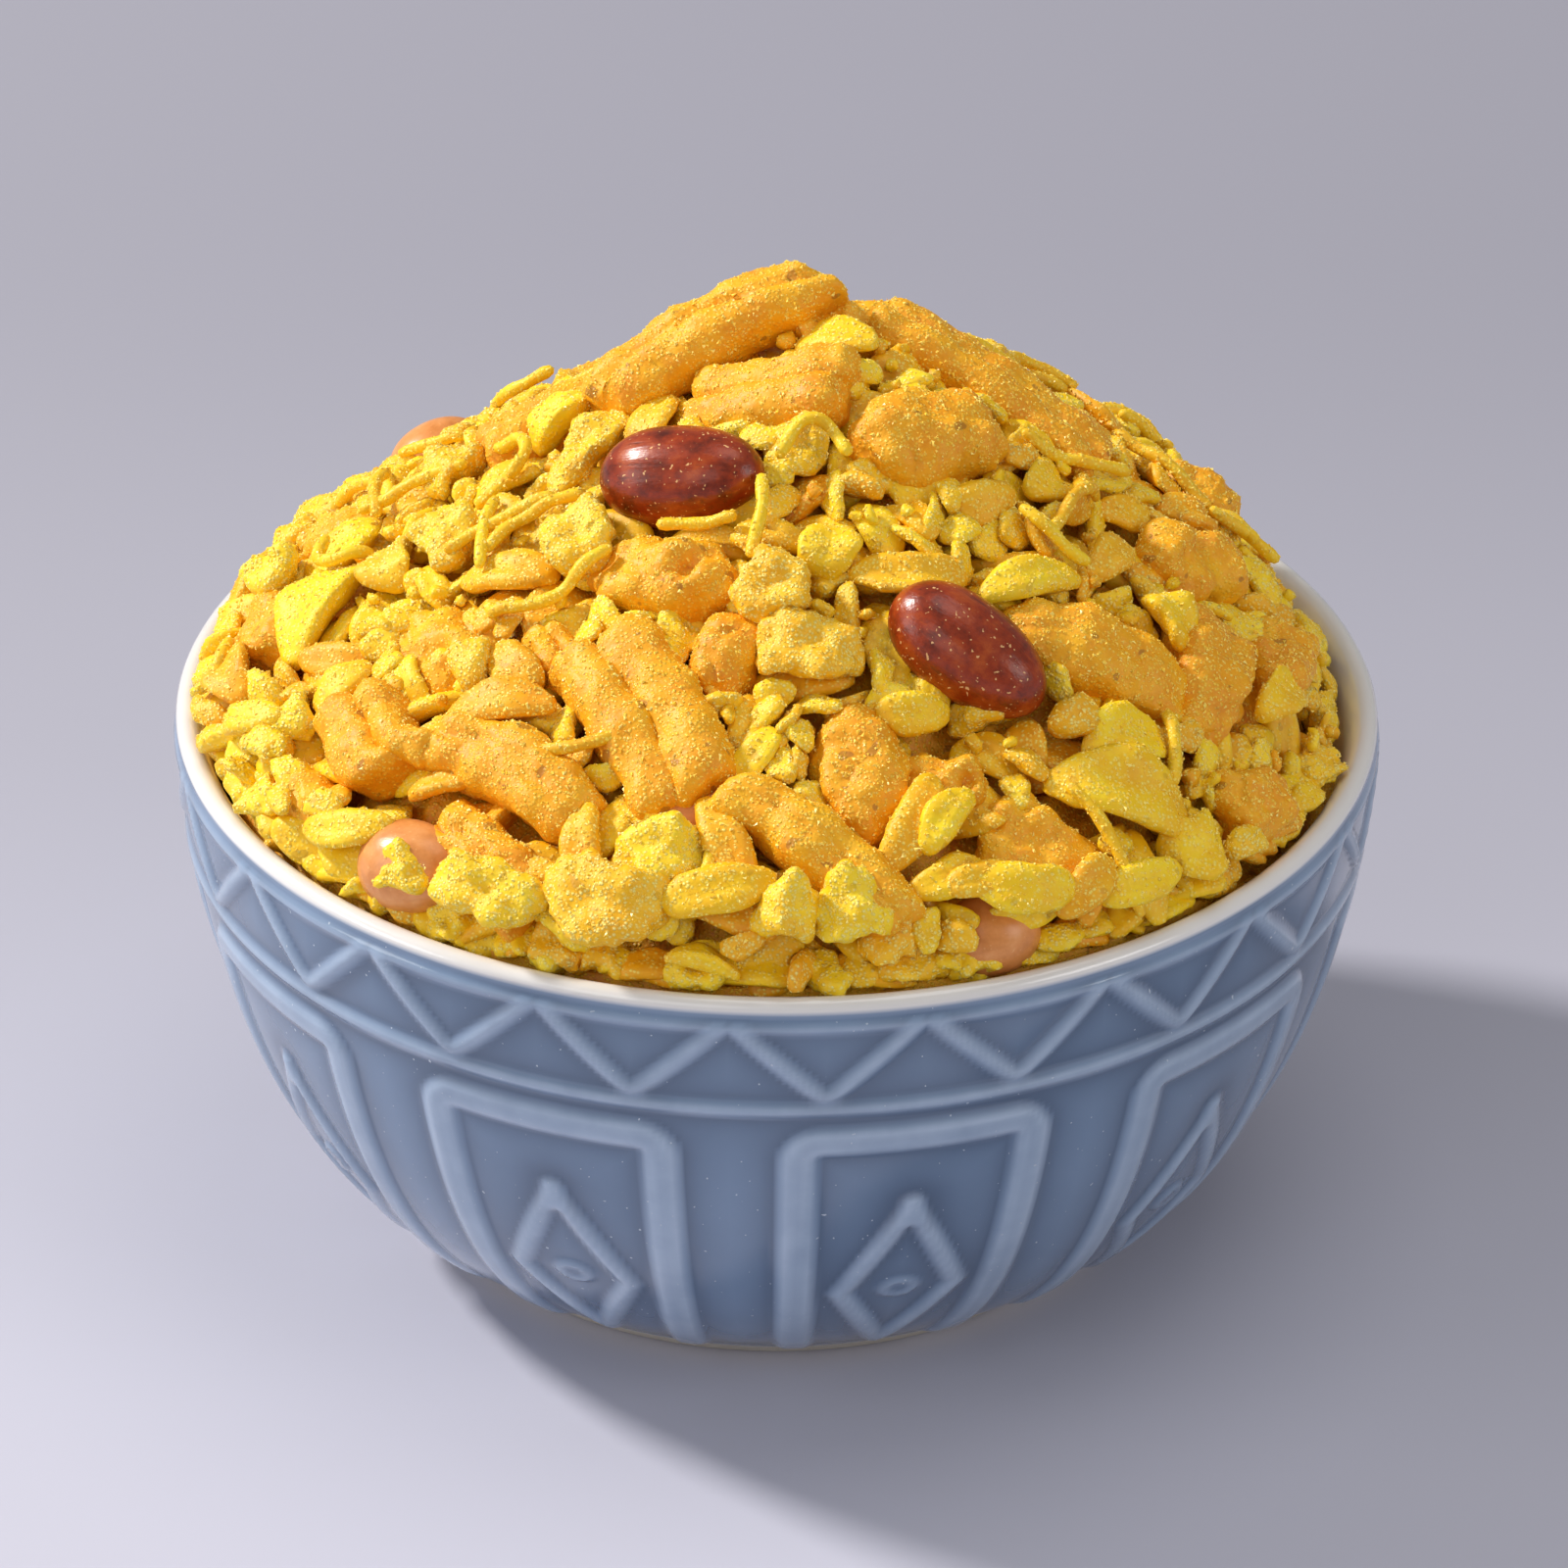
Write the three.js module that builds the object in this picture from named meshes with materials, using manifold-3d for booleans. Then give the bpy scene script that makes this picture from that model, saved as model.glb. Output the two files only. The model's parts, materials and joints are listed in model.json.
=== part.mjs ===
// A small glazed stoneware bowl, embossed outside, heaped with a savoury mix of crisp strips,
// flattened rice, fine noodles and peanuts. Millimetres, +Z up, the front toward -Y.
// Azimuths are degrees from the front toward +X.
import * as THREE from "three";
import { mergeVertices } from "three/addons/utils/BufferGeometryUtils.js";
import Module from "manifold-3d";

const wasm = await Module();
wasm.setup();

// Bowl
const SEGMENTS = 40; // facets round the bowl, so that each embossed panel spans four of them
const PANELS = 10;
const PANEL_CENTRE = 13.85; // azimuth of the first panel's middle
const RIM_RADIUS = 57.4;
const WALL_RADIUS = 57.1; // the ground between the raised lines
const RIM_TOP = 53.3;
const WALL_TOP = 50.9; // where the outer wall is widest
const WALL_DEPTH = 53.33;
const WALL_POWER = 1.661;
const WALL_ROUNDING = 4.046;
const WALL_THICKNESS = 3.9;
const BODY_FOOT_Z = 2.6; // the curved body meets the foot here
const FOOT_OUTER = 33.5;
const FOOT_INNER = 29.5;
const FOOT_RECESS = 2.2;
const FLOOR_Z = 6.6; // inside floor
const UPPER_LINE_Z = 50.6;
const LOWER_LINE_Z = 41.5;
const LINE_HEIGHT = 0.7;
const ZIGZAG_LOW_Z = 42.9;
const ZIGZAG_HIGH_Z = 49.8;
const ZIGZAG_WIDTH = 1.7;
const PANEL_HALF = 13.15; // azimuth from a panel's middle to its outer edge
const PANEL_TOP_Z = 39.0;
const PANEL_LINE = 2.7;
const LOZENGE_TOP_Z = 28.7;
const LOZENGE_MIDDLE_Z = 16.5;
const LOZENGE_LOW_Z = 5.8;
const LOZENGE_HALF = 6.5;
const LOZENGE_LINE = 1.8;
const EYE_Z = 16.8; // the small raised ring inside each lozenge
const EYE_RADIUS = 1.7;

// Heap
const HEAP_RADIUS = 54.5;
const HEAP_TOP = 90;
const HEAP_EDGE = 51.5;
const HEAP_POWER = 0.72;
const APEX_X = 7;
const APEX_Y = 4;
const CORE_DROP = 3.8; // how far the core lies under the tops of the pieces
const FILL_HIGH = 50.6; // height of the core at the wall, in front, at the left and behind
const FILL_LOW = 46; // the same at the right, where the inside of the wall shows
const GAP = 0.3;
const FLAKE_KEEL = 5.5; // how deep a flake's underside is rooted in the core
const BACK_STRIPS = 11;
const FILL_SITES = 131;
const SEED = 20461;

// Colours
const GLAZE = 0x7d92a8;
const MIX = 0xe6bb3c;
const SKIN = 0x6b1d12;

const rad = THREE.MathUtils.degToRad;

function randomFrom(seed) {
  let state = seed >>> 0;
  return () => {
    state = (state + 0x6d2b79f5) >>> 0;
    let t = Math.imul(state ^ (state >>> 15), 1 | state);
    t = (t + Math.imul(t ^ (t >>> 7), 61 | t)) ^ t;
    return ((t ^ (t >>> 14)) >>> 0) / 4294967296;
  };
}

// Solids from closed geometries, and back.
function solidOf(geometry) {
  const bare = new THREE.BufferGeometry();
  const flat = geometry.index ? geometry.toNonIndexed() : geometry;
  bare.setAttribute("position", flat.getAttribute("position"));
  const merged = mergeVertices(bare, 1e-4);
  const index = merged.index.array;
  const kept = [];
  for (let i = 0; i < index.length; i += 3) {
    const [a, b, c] = [index[i], index[i + 1], index[i + 2]];
    if (a !== b && b !== c && a !== c) kept.push(a, b, c);
  }
  const build = (faces) => {
    const mesh = new wasm.Mesh({
      numProp: 3,
      vertProperties: merged.attributes.position.array,
      triVerts: new Uint32Array(faces),
    });
    return new wasm.Manifold(mesh);
  };
  const made = build(kept);
  return made.volume() < 0 ? build(kept.toReversed()) : made;
}

function geometryOf(solid) {
  const mesh = solid.getMesh();
  const geometry = new THREE.BufferGeometry();
  const places = new THREE.BufferAttribute(mesh.vertProperties, 3);
  geometry.setAttribute("position", places);
  geometry.setIndex(new THREE.BufferAttribute(mesh.triVerts, 1));
  const faceted = geometry.toNonIndexed();
  faceted.computeVertexNormals();
  return faceted;
}

function surface(points, faces) {
  const geometry = new THREE.BufferGeometry();
  geometry.setAttribute("position", new THREE.Float32BufferAttribute(points.flat(), 3));
  geometry.setIndex(faces.flat());
  return geometry;
}

function turned(profile) {
  const points = profile.map(([r, z]) => new THREE.Vector2(r, z));
  const lathe = new THREE.LatheGeometry(points, SEGMENTS, rad(PANEL_CENTRE));
  return solidOf(lathe.rotateX(Math.PI / 2));
}

// The outer wall: radius by height, its slope, and its points and normals by azimuth.
function wallRadius(z) {
  const drop = Math.max(WALL_TOP - z, 0) / WALL_DEPTH;
  return WALL_RADIUS * (1 - drop ** WALL_POWER) ** (1 / WALL_ROUNDING);
}

function wallLean(z) {
  const slope = (wallRadius(z + 0.3) - wallRadius(z - 0.3)) / 0.6;
  const length = Math.hypot(1, slope);
  return [1 / length, -slope / length];
}

function wallPoint(azimuth, z) {
  const r = wallRadius(z);
  return new THREE.Vector3(r * Math.sin(rad(azimuth)), -r * Math.cos(rad(azimuth)), z);
}

function wallNormal(azimuth, z) {
  const [out, up] = wallLean(z);
  return new THREE.Vector3(out * Math.sin(rad(azimuth)), -out * Math.cos(rad(azimuth)), up);
}

const outerHeights = [6.5, 12.5, 21, 31];
const innerHeights = [37, 18];

function raisedBand(z, half) {
  return [
    [wallRadius(z - half), z - half],
    [wallRadius(z) + LINE_HEIGHT, z],
    [wallRadius(z + half), z + half],
  ];
}

function innerWall(grow) {
  const lip = [
    [55.0 - grow * 0.5, RIM_TOP - 0.3 + grow],
    [54.2 - grow, RIM_TOP - 1.2],
    [53.7 - grow, 50.6],
  ];
  const wall = innerHeights.map((z) => {
    const [out, up] = wallLean(z);
    const depth = WALL_THICKNESS + grow;
    return [wallRadius(z) - depth * out, z - depth * up];
  });
  const floor = [
    [33.5 - grow, FLOOR_Z + 1.3 + grow],
    [0, FLOOR_Z + grow],
  ];
  return [...lip, ...wall, ...floor];
}

function bowlBody() {
  const profile = [
    [0, FOOT_RECESS],
    [FOOT_INNER - 1.2, FOOT_RECESS],
    [FOOT_INNER, 0],
    [FOOT_OUTER, 0],
    [FOOT_OUTER + 0.7, 1.5],
    [wallRadius(BODY_FOOT_Z), BODY_FOOT_Z],
    ...outerHeights.map((z) => [wallRadius(z), z]),
    ...raisedBand(LOWER_LINE_Z, 0.9),
    ...raisedBand(UPPER_LINE_Z, 0.8),
    [RIM_RADIUS, 51.9],
    [57.1, 52.8],
    [56.1, RIM_TOP],
    ...innerWall(0),
  ];
  return turned(profile);
}

// A raised line of triangular section along stations [azimuth, z] on the wall.
function ridge(stations, width, closed) {
  const sink = 0.6;
  const half = (width / 2) * (1 + sink / LINE_HEIGHT);
  const spots = stations.map(([a, z]) => wallPoint(a, z));
  const count = spots.length;
  const at = (i) => spots[closed ? (i + count) % count : THREE.MathUtils.clamp(i, 0, count - 1)];
  const points = [];
  spots.forEach((spot, i) => {
    const normal = wallNormal(stations[i][0], stations[i][1]);
    const before = spot.clone().sub(at(i - 1)).normalize();
    const after = at(i + 1).clone().sub(spot).normalize();
    const along = before.clone().add(after).normalize();
    const bend = Math.max(along.dot(after.length() ? after : before), 0.45);
    const side = normal.clone().cross(along).normalize().multiplyScalar(half / bend);
    const low = spot.clone().addScaledVector(normal, -sink);
    points.push(low.clone().add(side).toArray());
    points.push(spot.clone().addScaledVector(normal, LINE_HEIGHT).toArray());
    points.push(low.clone().sub(side).toArray());
  });
  const faces = [];
  const spans = closed ? count : count - 1;
  for (let i = 0; i < spans; i++) {
    const a = 3 * i;
    const b = 3 * ((i + 1) % count);
    for (let k = 0; k < 3; k++) {
      const n = (k + 1) % 3;
      faces.push([a + k, b + k, b + n], [a + k, b + n, a + n]);
    }
  }
  if (!closed) {
    const last = 3 * (count - 1);
    faces.push([0, 1, 2], [last, last + 2, last + 1]);
  }
  return solidOf(surface(points, faces));
}

function zigzag() {
  const step = 360 / SEGMENTS;
  const stations = [];
  for (let i = 0; i < SEGMENTS; i++) {
    stations.push([PANEL_CENTRE + step * i, i % 2 ? ZIGZAG_LOW_Z : ZIGZAG_HIGH_Z]);
  }
  return ridge(stations, ZIGZAG_WIDTH, true);
}

function panelOutline(middle) {
  const high = PANEL_TOP_Z - PANEL_LINE / 2;
  const inset = (z) => PANEL_HALF - (PANEL_LINE / 2 / wallRadius(z)) * (180 / Math.PI);
  const side = [2.4, 9.5, 21, high - 1.8].map((z) => [inset(z), z]);
  const half = [...side, [inset(high) - 1.9, high]];
  const left = half.map(([a, z]) => [middle - a, z]);
  const right = half.toReversed().map(([a, z]) => [middle + a, z]);
  return ridge([...left, [middle, high], ...right], PANEL_LINE, false);
}

function lozenge(middle) {
  const corners = [
    [0, LOZENGE_TOP_Z],
    [LOZENGE_HALF, LOZENGE_MIDDLE_Z],
    [0, LOZENGE_LOW_Z],
    [-LOZENGE_HALF, LOZENGE_MIDDLE_Z],
  ];
  const stations = corners.map(([a, z]) => [middle + a, z]);
  return ridge(stations, LOZENGE_LINE, true);
}

function eye(middle) {
  const sides = 6;
  const centre = wallPoint(middle, EYE_Z);
  const normal = wallNormal(middle, EYE_Z);
  const across = new THREE.Vector3(Math.cos(rad(middle)), Math.sin(rad(middle)), 0);
  const upward = normal.clone().cross(across);
  const circle = (radius, lift) =>
    Array.from({ length: sides }, (_, k) => {
      const t = (2 * Math.PI * k) / sides;
      return centre
        .clone()
        .addScaledVector(across, radius * Math.cos(t))
        .addScaledVector(upward, radius * Math.sin(t))
        .addScaledVector(normal, lift)
        .toArray();
    });
  const points = [...circle(EYE_RADIUS + 0.4, -0.6), ...circle(EYE_RADIUS - 0.5, LINE_HEIGHT)];
  points.push(centre.clone().addScaledVector(normal, 0.1).toArray());
  points.push(centre.clone().addScaledVector(normal, -0.6).toArray());
  const faces = [];
  for (let k = 0; k < sides; k++) {
    const n = (k + 1) % sides;
    faces.push([k, n, sides + n], [k, sides + n, sides + k]);
    faces.push([sides + k, sides + n, 2 * sides], [n, k, 2 * sides + 1]);
  }
  return solidOf(surface(points, faces));
}

function bowl() {
  const relief = [zigzag()];
  for (let k = 0; k < PANELS; k++) {
    const middle = PANEL_CENTRE + (360 / PANELS) * k;
    relief.push(panelOutline(middle), lozenge(middle), eye(middle));
  }
  return wasm.Manifold.union([bowlBody(), ...relief]).simplify(0.08);
}

// The heap's outer form, to the tops of its pieces.
function heapTop(x, y) {
  const share = Math.hypot(x, y) / HEAP_RADIUS;
  const keep = Math.max(1 - share, 0);
  const r = Math.hypot(x - APEX_X * keep, y - APEX_Y * keep) / HEAP_RADIUS;
  const rounded = Math.sqrt(r * r + 0.004);
  const rise = THREE.MathUtils.clamp(1.05 - rounded, 0, 1) ** HEAP_POWER;
  return HEAP_EDGE + (HEAP_TOP - HEAP_EDGE) * rise;
}

function heapNormal(x, y) {
  const d = 4;
  const dx = (heapTop(x + d, y) - heapTop(x - d, y)) / (2 * d);
  const dy = (heapTop(x, y + d) - heapTop(x, y - d)) / (2 * d);
  return new THREE.Vector3(-dx, -dy, 1).normalize();
}

function coreTop(x, y, random) {
  const share = Math.hypot(x, y) / HEAP_RADIUS;
  const azimuth = Math.atan2(x, -y);
  const toRight = THREE.MathUtils.smoothstep(Math.cos(azimuth - rad(115)), 0.3, 0.9);
  const fill = THREE.MathUtils.lerp(FILL_HIGH, FILL_LOW, toRight);
  const dome = heapTop(x, y) - CORE_DROP + (random() - 0.5) * 2.2;
  return THREE.MathUtils.lerp(dome, fill, THREE.MathUtils.smoothstep(share, 0.86, 0.99));
}

function core() {
  const random = randomFrom(SEED);
  const shares = [0.17, 0.36, 0.55, 0.72, 0.87, 0.97, 1.04];
  const spokes = 26;
  const points = [[0, 0, coreTop(0, 0, random)]];
  const ringAt = (share, height) => {
    for (let k = 0; k < spokes; k++) {
      const t = (2 * Math.PI * (k + (points.length % 2 ? 0 : 0.5))) / spokes;
      const x = HEAP_RADIUS * share * Math.cos(t);
      const y = HEAP_RADIUS * share * Math.sin(t);
      points.push([x, y, height ?? coreTop(x, y, random)]);
    }
  };
  shares.forEach((share) => ringAt(share));
  ringAt(1.04, 3);
  points.push([0, 0, 3]);
  const faces = [];
  const rings = shares.length + 1;
  for (let k = 0; k < spokes; k++) {
    const n = (k + 1) % spokes;
    faces.push([0, 1 + k, 1 + n]);
    for (let j = 1; j < rings; j++) {
      const a = 1 + (j - 1) * spokes;
      const b = 1 + j * spokes;
      faces.push([a + k, b + k, b + n], [a + k, b + n, a + n]);
    }
    const last = 1 + (rings - 1) * spokes;
    faces.push([last + n, last + k, points.length - 1]);
  }
  return solidOf(surface(points, faces));
}

// A piece's place: on the heap's form, turned to its heading, then pitched and rolled.
function seat(solid, x, y, { heading = 0, rise = 0, pitch = 0, roll = 0 }) {
  const up = heapNormal(x, y);
  const ahead = new THREE.Vector3(Math.cos(rad(heading)), Math.sin(rad(heading)), 0);
  ahead.addScaledVector(up, -ahead.dot(up)).normalize();
  const side = up.clone().cross(ahead);
  const place = new THREE.Matrix4().makeBasis(ahead, side, up);
  place.multiply(new THREE.Matrix4().makeRotationY(-rad(pitch)));
  place.multiply(new THREE.Matrix4().makeRotationX(rad(roll)));
  const spot = new THREE.Vector3(x, y, heapTop(x, y)).addScaledVector(up, rise);
  place.setPosition(spot);
  return solid.transform(place.elements);
}

// A puffed strip: blunt ends, a slight bow, uneven sides.
function strip({ long, wide, thick, bow = 0.8, sway = 0.6, waist = 0.06 }, random) {
  const sides = 5;
  const stops = [0.05, 0.3, 0.7, 0.95];
  const points = [[-long / 2, 0, 0]];
  stops.forEach((s) => {
    const u = 2 * s - 1;
    const full = (1 - Math.abs(u) ** 5) ** 0.35 * (1 - waist * Math.cos(u * 3));
    for (let k = 0; k < sides; k++) {
      const t = (2 * Math.PI * (k + 0.25)) / sides;
      const jitter = 1 + (random() - 0.5) * 0.16;
      const y = (wide / 1.74) * Math.cos(t) * full * jitter + sway * (1 - u * u);
      const z = (thick / 1.9) * Math.sin(t) * full * jitter + bow * (1 - u * u) - bow / 2;
      points.push([u * (long / 2), y, z]);
    }
  });
  points.push([long / 2, 0, 0]);
  return solidOf(surface(points, tubeFaces(sides, stops.length)));
}

function tubeFaces(sides, stops) {
  const faces = [];
  const tip = 1 + sides * stops;
  for (let k = 0; k < sides; k++) {
    const n = (k + 1) % sides;
    faces.push([0, 1 + n, 1 + k]);
    for (let j = 0; j < stops - 1; j++) {
      const a = 1 + j * sides;
      const b = a + sides;
      faces.push([a + k, a + n, b + n], [a + k, b + n, b + k]);
    }
    faces.push([tip - sides + k, tip - sides + n, tip]);
  }
  return faces;
}

// A lump: a rounded nugget or a nut.
function lump({ long, wide, thick, rough = 0.14, across, down }, random) {
  across ??= long > 11 ? 6 : 5;
  down ??= long > 11 ? 4 : 3;
  const points = [[-long / 2, 0, 0]];
  for (let j = 1; j <= down; j++) {
    const u = -Math.cos((Math.PI * j) / (down + 1));
    const full = Math.sqrt(1 - u * u) ** 0.8;
    for (let k = 0; k < across; k++) {
      const t = (2 * Math.PI * (k + (j % 2) / 2)) / across;
      const jitter = full * (1 + (random() - 0.5) * rough);
      const y = (wide / 2) * Math.cos(t) * jitter;
      const z = (thick / 2) * Math.sin(t) * jitter;
      points.push([u * (long / 2), y, z]);
    }
  }
  points.push([long / 2, 0, 0]);
  return solidOf(surface(points, tubeFaces(across, down)));
}

// A flake of flattened rice: a pointed oval a little cupped.
function flake({ long, wide, thick }, random) {
  const edge = 6;
  const cup = (random() - 0.4) * 0.16 * long;
  const points = [
    [0, 0, thick / 2 + cup * 0.3],
    [0, 0, -FLAKE_KEEL],
  ];
  const faces = [];
  for (let k = 0; k < edge; k++) {
    const t = (2 * Math.PI * (k + 0.3 * random())) / edge;
    const x = (long / 2) * Math.cos(t);
    const z = -cup * (Math.cos(t) ** 2 - 0.5) + (random() - 0.5) * 0.5 * thick;
    points.push([x, (wide / 2) * Math.sin(t) * (0.85 + 0.3 * random()), z]);
    const n = (k + 1) % edge;
    faces.push([0, 2 + k, 2 + n], [1, 2 + n, 2 + k]);
  }
  return solidOf(surface(points, faces));
}

// A fine noodle through points on the heap's form, [x, y, rise].
function noodle(stops) {
  const radius = 0.85;
  const sides = 4;
  const places = stops.map(([x, y, rise]) => new THREE.Vector3(x, y, heapTop(x, y) + rise));
  const curve = new THREE.CatmullRomCurve3(places);
  const steps = 2 * (stops.length - 1);
  const tube = new THREE.TubeGeometry(curve, steps, radius, sides, false);
  const ring = tube.getAttribute("position");
  const points = [curve.getPoint(0).toArray()];
  for (let j = 0; j <= steps; j++) {
    for (let k = 0; k < sides; k++) {
      const i = j * (sides + 1) + k;
      points.push([ring.getX(i), ring.getY(i), ring.getZ(i)]);
    }
  }
  points.push(curve.getPoint(1).toArray());
  return solidOf(surface(points, tubeFaces(sides, steps + 1)));
}

// The large pieces that show: form, x, y, heading, [long, wide, thick], [rise, pitch, roll].
const bigPieces = {
  summitStrip: [strip, -5.5, 7, 12, [25, 7.5, 6.5], [2.8, 4, 20]],
  frontStrip: [strip, -1, -2, -14, [17.5, 8.5, 5.5], [-0.5, 8, 8]],
  ridgeStrip: [strip, 20, 6, -12, [27, 7.5, 6], [-0.5, 0, 14]],
  hiddenTip: [strip, 6.5, 8, 30, [12, 6, 5], [-0.5, 14, 0]],
  fingerStrip: [strip, 29.5, -23.5, -10, [19.5, 8.5, 6.5], [-1, 0, 10]],
  doubleStrip: [strip, -12, -34, -69, [21, 11.5, 5.5], [-1, 0, 4]],
  leftRoll: [strip, -24.5, -37, -47, [18.5, 8.3, 6.5], [-2, 0, 0]],
  cornerFold: [strip, -37.5, -27.5, -80, [14.5, 10, 6], [-1, 0, 10]],
  notchedFold: [lump, -26, -42.5, -53, [14, 8.5, 7], [-2.5, 0, 0]],
  slimStrip: [strip, 4, -46.5, -45, [21.5, 6.2, 5.5], [-0.5, 0, 0]],
  plumpNugget: [lump, 7.5, -39.5, -78, [14, 8.5, 7], [-2, 0, 0]],
  halfNugget: [lump, 15, -40, -10, [10, 7, 6], [-2.5, 0, 0]],
  flatChip: [strip, 24, -43, -15, [14, 9, 4.5], [-2, 0, 0]],
  shortRoll: [strip, -5, -29, 60, [9.8, 7, 6], [-2, 0, 0]],
  crumbNugget: [lump, -10.5, -20, -20, [14.5, 9, 8], [-1.5, 0, 0]],
  crownNugget: [lump, 14, -7, 20, [15, 10, 9], [-1, 0, 0]],
  bigRound: [lump, 41, -18, -83, [17, 12, 8], [-2, 0, 0]],
  doubleLobe: [lump, 39.5, -5, 35, [15, 9.5, 9], [-1, 0, 0]],
  rimBlock: [lump, 47, -9.5, -80, [14, 9, 9], [-1.5, 0, 0]],
  smallNugget: [lump, 44, -28, 40, [8.5, 7, 6.5], [-1, 0, 0]],
  skyChip: [lump, 40.5, 13, -32, [9, 6, 6], [0, 0, 0]],
  leftLobe: [lump, -48.5, -2.5, -80, [11, 7, 7], [-1, 0, 0]],
  leftChip: [lump, -44, -28.5, -67, [9.5, 6.5, 6], [-2, 0, 0]],
  roughNugget: [lump, -32.5, -19, -53, [12, 9, 7], [-2.5, 0, 0]],
  sliver: [strip, -19.5, -25.5, -70, [10, 5, 4.5], [-2.5, 0, 0]],
  leftSky: [strip, -42, 10, -36, [10, 5, 4], [-0.5, 0, 0]],
  pearNut: [lump, -33.5, -40.5, -24, [10, 8, 8], [-2, 0, 0]],
  rimNut: [lump, 20, -50.5, 15, [9, 7.5, 7.5], [-3, 0, 0]],
};

// The flakes that show singly: x, y, heading, [long, wide, thick], [rise, pitch, roll].
const shownFlakes = {
  leftWing: [-43, -6, 50, [13, 7.2, 3], [0, 0, 0]],
  paleTab: [-47.5, 4, -80, [8, 5, 3], [1.5, 10, 0]],
  yolkTab: [-36, -5, 87, [6.5, 5.5, 3], [0, 0, 0]],
  crispPale: [-31, -6, -69, [8.5, 6.2, 4], [0, 0, 0]],
  lowSlip: [-25, -14, -18, [11, 4.6, 2.5], [-0.5, 0, 0]],
  roughPuff: [-18.5, -14, -70, [9, 7, 5], [-0.5, 0, 0]],
  lozengeSlip: [-25, -30, -5, [11, 4.4, 2.5], [0.5, 0, 0]],
  rimSlip: [-49, -18.5, -20, [8.5, 3.8, 2.4], [0, 0, 0]],
  rimWing: [-51.5, -9, -79, [8, 5, 3], [0.5, 0, 0]],
  midTab: [-44.5, -19.5, -80, [6, 4.6, 3], [0, 0, 0]],
  crossSlip: [-39, -36, -14, [10.5, 3.8, 2.4], [0, 0, 0]],
  uprightSlip: [-17, -44.5, 86, [9, 3.6, 2.6], [0.5, 0, 0]],
  bumpyFront: [-10.5, -47, -11, [8.4, 6.2, 4], [0, 0, 0]],
  leanSlip: [-4.5, -46, -73, [10.5, 4, 2.4], [1, 0, 0]],
  rimTab: [-34, -43, -23, [6, 4.4, 3], [0, 0, 0]],
  rimRough: [-26, -48, -22, [12, 5.6, 4], [0, 0, 0]],
  bigRough: [-15, -51, -17, [12, 7.5, 4.5], [0, 0, 0]],
  longSlip: [-5, -51.5, 16, [11, 4.6, 2.6], [0, 0, 0]],
  rimBall: [1, -53.5, 10, [6.4, 6, 4.5], [0, 0, 0]],
  rimFlat: [7, -53, 11, [7.2, 6.6, 4], [0, 0, 0]],
  twinNear: [12, -44, 74, [11.5, 4.2, 2.8], [1, 0, 0]],
  twinFar: [15, -44.5, 67, [7.8, 3.6, 2.6], [1, 0, 0]],
  pairLow: [15.5, -48, 26, [8, 4, 2.6], [0.5, 0, 0]],
  pairHigh: [18.5, -48.5, 22, [7.4, 3.4, 2.4], [0.5, 0, 0]],
  paleSlip: [22, -48.5, 3, [10.4, 4.8, 2.6], [1, 0, 0]],
  rimUpright: [28, -46.5, 70, [8, 4, 2.6], [0.5, 0, 0]],
  rimLong: [33, -43.5, 37, [9.6, 4, 2.6], [0, 0, 0]],
  rimRound: [38.5, -37, 31, [7, 6.2, 3.6], [0, 0, 0]],
  bigWing: [31, -36, -5, [14.6, 7.2, 3.4], [0.5, 0, 0]],
  plate: [32, -31.5, 33, [9, 6.4, 3], [-0.5, 0, 0]],
  curlOver: [3, -30, -5, [10, 6.6, 4], [0, 0, 0]],
  roughKnob: [-0.5, -24.5, 61, [7.9, 6.6, 5], [-0.5, 0, 0]],
  roundLeaf: [4.5, -20, 81, [5.8, 5.6, 3], [0, 0, 0]],
  upperLeaf: [12, -22, 5, [11, 4, 2.6], [0, 0, 0]],
  longRib: [23, -19.5, 30, [11.5, 4, 2.8], [0, 0, 0]],
  darkLeaf: [36, -17, -38, [6.6, 4.4, 2.8], [0.5, 0, 0]],
  wingLeaf: [47.5, -16, 56, [8, 4.2, 2.6], [0, 0, 0]],
  topLeaf: [-20, 6, 20, [7.5, 5.2, 3], [1.5, 10, 0]],
  barLeaf: [-17.5, -1.5, 44, [12, 4.5, 3], [0, 0, 0]],
  farLeaf: [-30, 7, 40, [8, 5.3, 3], [1, 0, 0]],
  highLeaf: [38.5, 3, 20, [7.5, 4.2, 2.8], [0, 0, 0]],
  spikeLeaf: [30.5, -12, 62, [7.5, 4, 2.6], [0, 0, 0]],
};

const noodles = [
  [[0, -12, 0.4], [3, -9.5, 1.2], [6, -12, 0.8]],
  [[-27, -12, 0.4], [-23, -9.5, 0.8], [-18, -8.5, 0.5]],
  [[-26.5, -19.5, 0.4], [-22, -20.5, 0.8], [-15.5, -18, 0.4]],
  [[-27.5, -14, 0.2], [-27.5, -9, 0.9], [-26.5, -5.5, 0.6]],
  [[25, -15, 0.4], [27, -10, 0.9], [29.5, -5.5, 0.6]],
  [[22.5, -13, 0.4], [25.5, -14.5, 0.9], [28.5, -15.5, 0.4]],
  [[36, -33, 0.2], [36.2, -28, 0.8]],
  [[26.5, -39, 0.2], [30, -41.5, 0.6], [33, -45, 0.2]],
  [[-12, -48.5, 0.2], [-9.5, -51, 0.6], [-6, -50.5, 0.6]],
];

// The two red-skinned peanuts: x, y, heading, rise, pitch.
const NUT_LONG = 16.5;
const NUT_WIDE = 9.8;
const redNuts = {
  peanut_left: [-8.7, -10, -16, 0.6, 4],
  peanut_right: [17.2, -28, -33, 0.6, -4],
};

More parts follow.
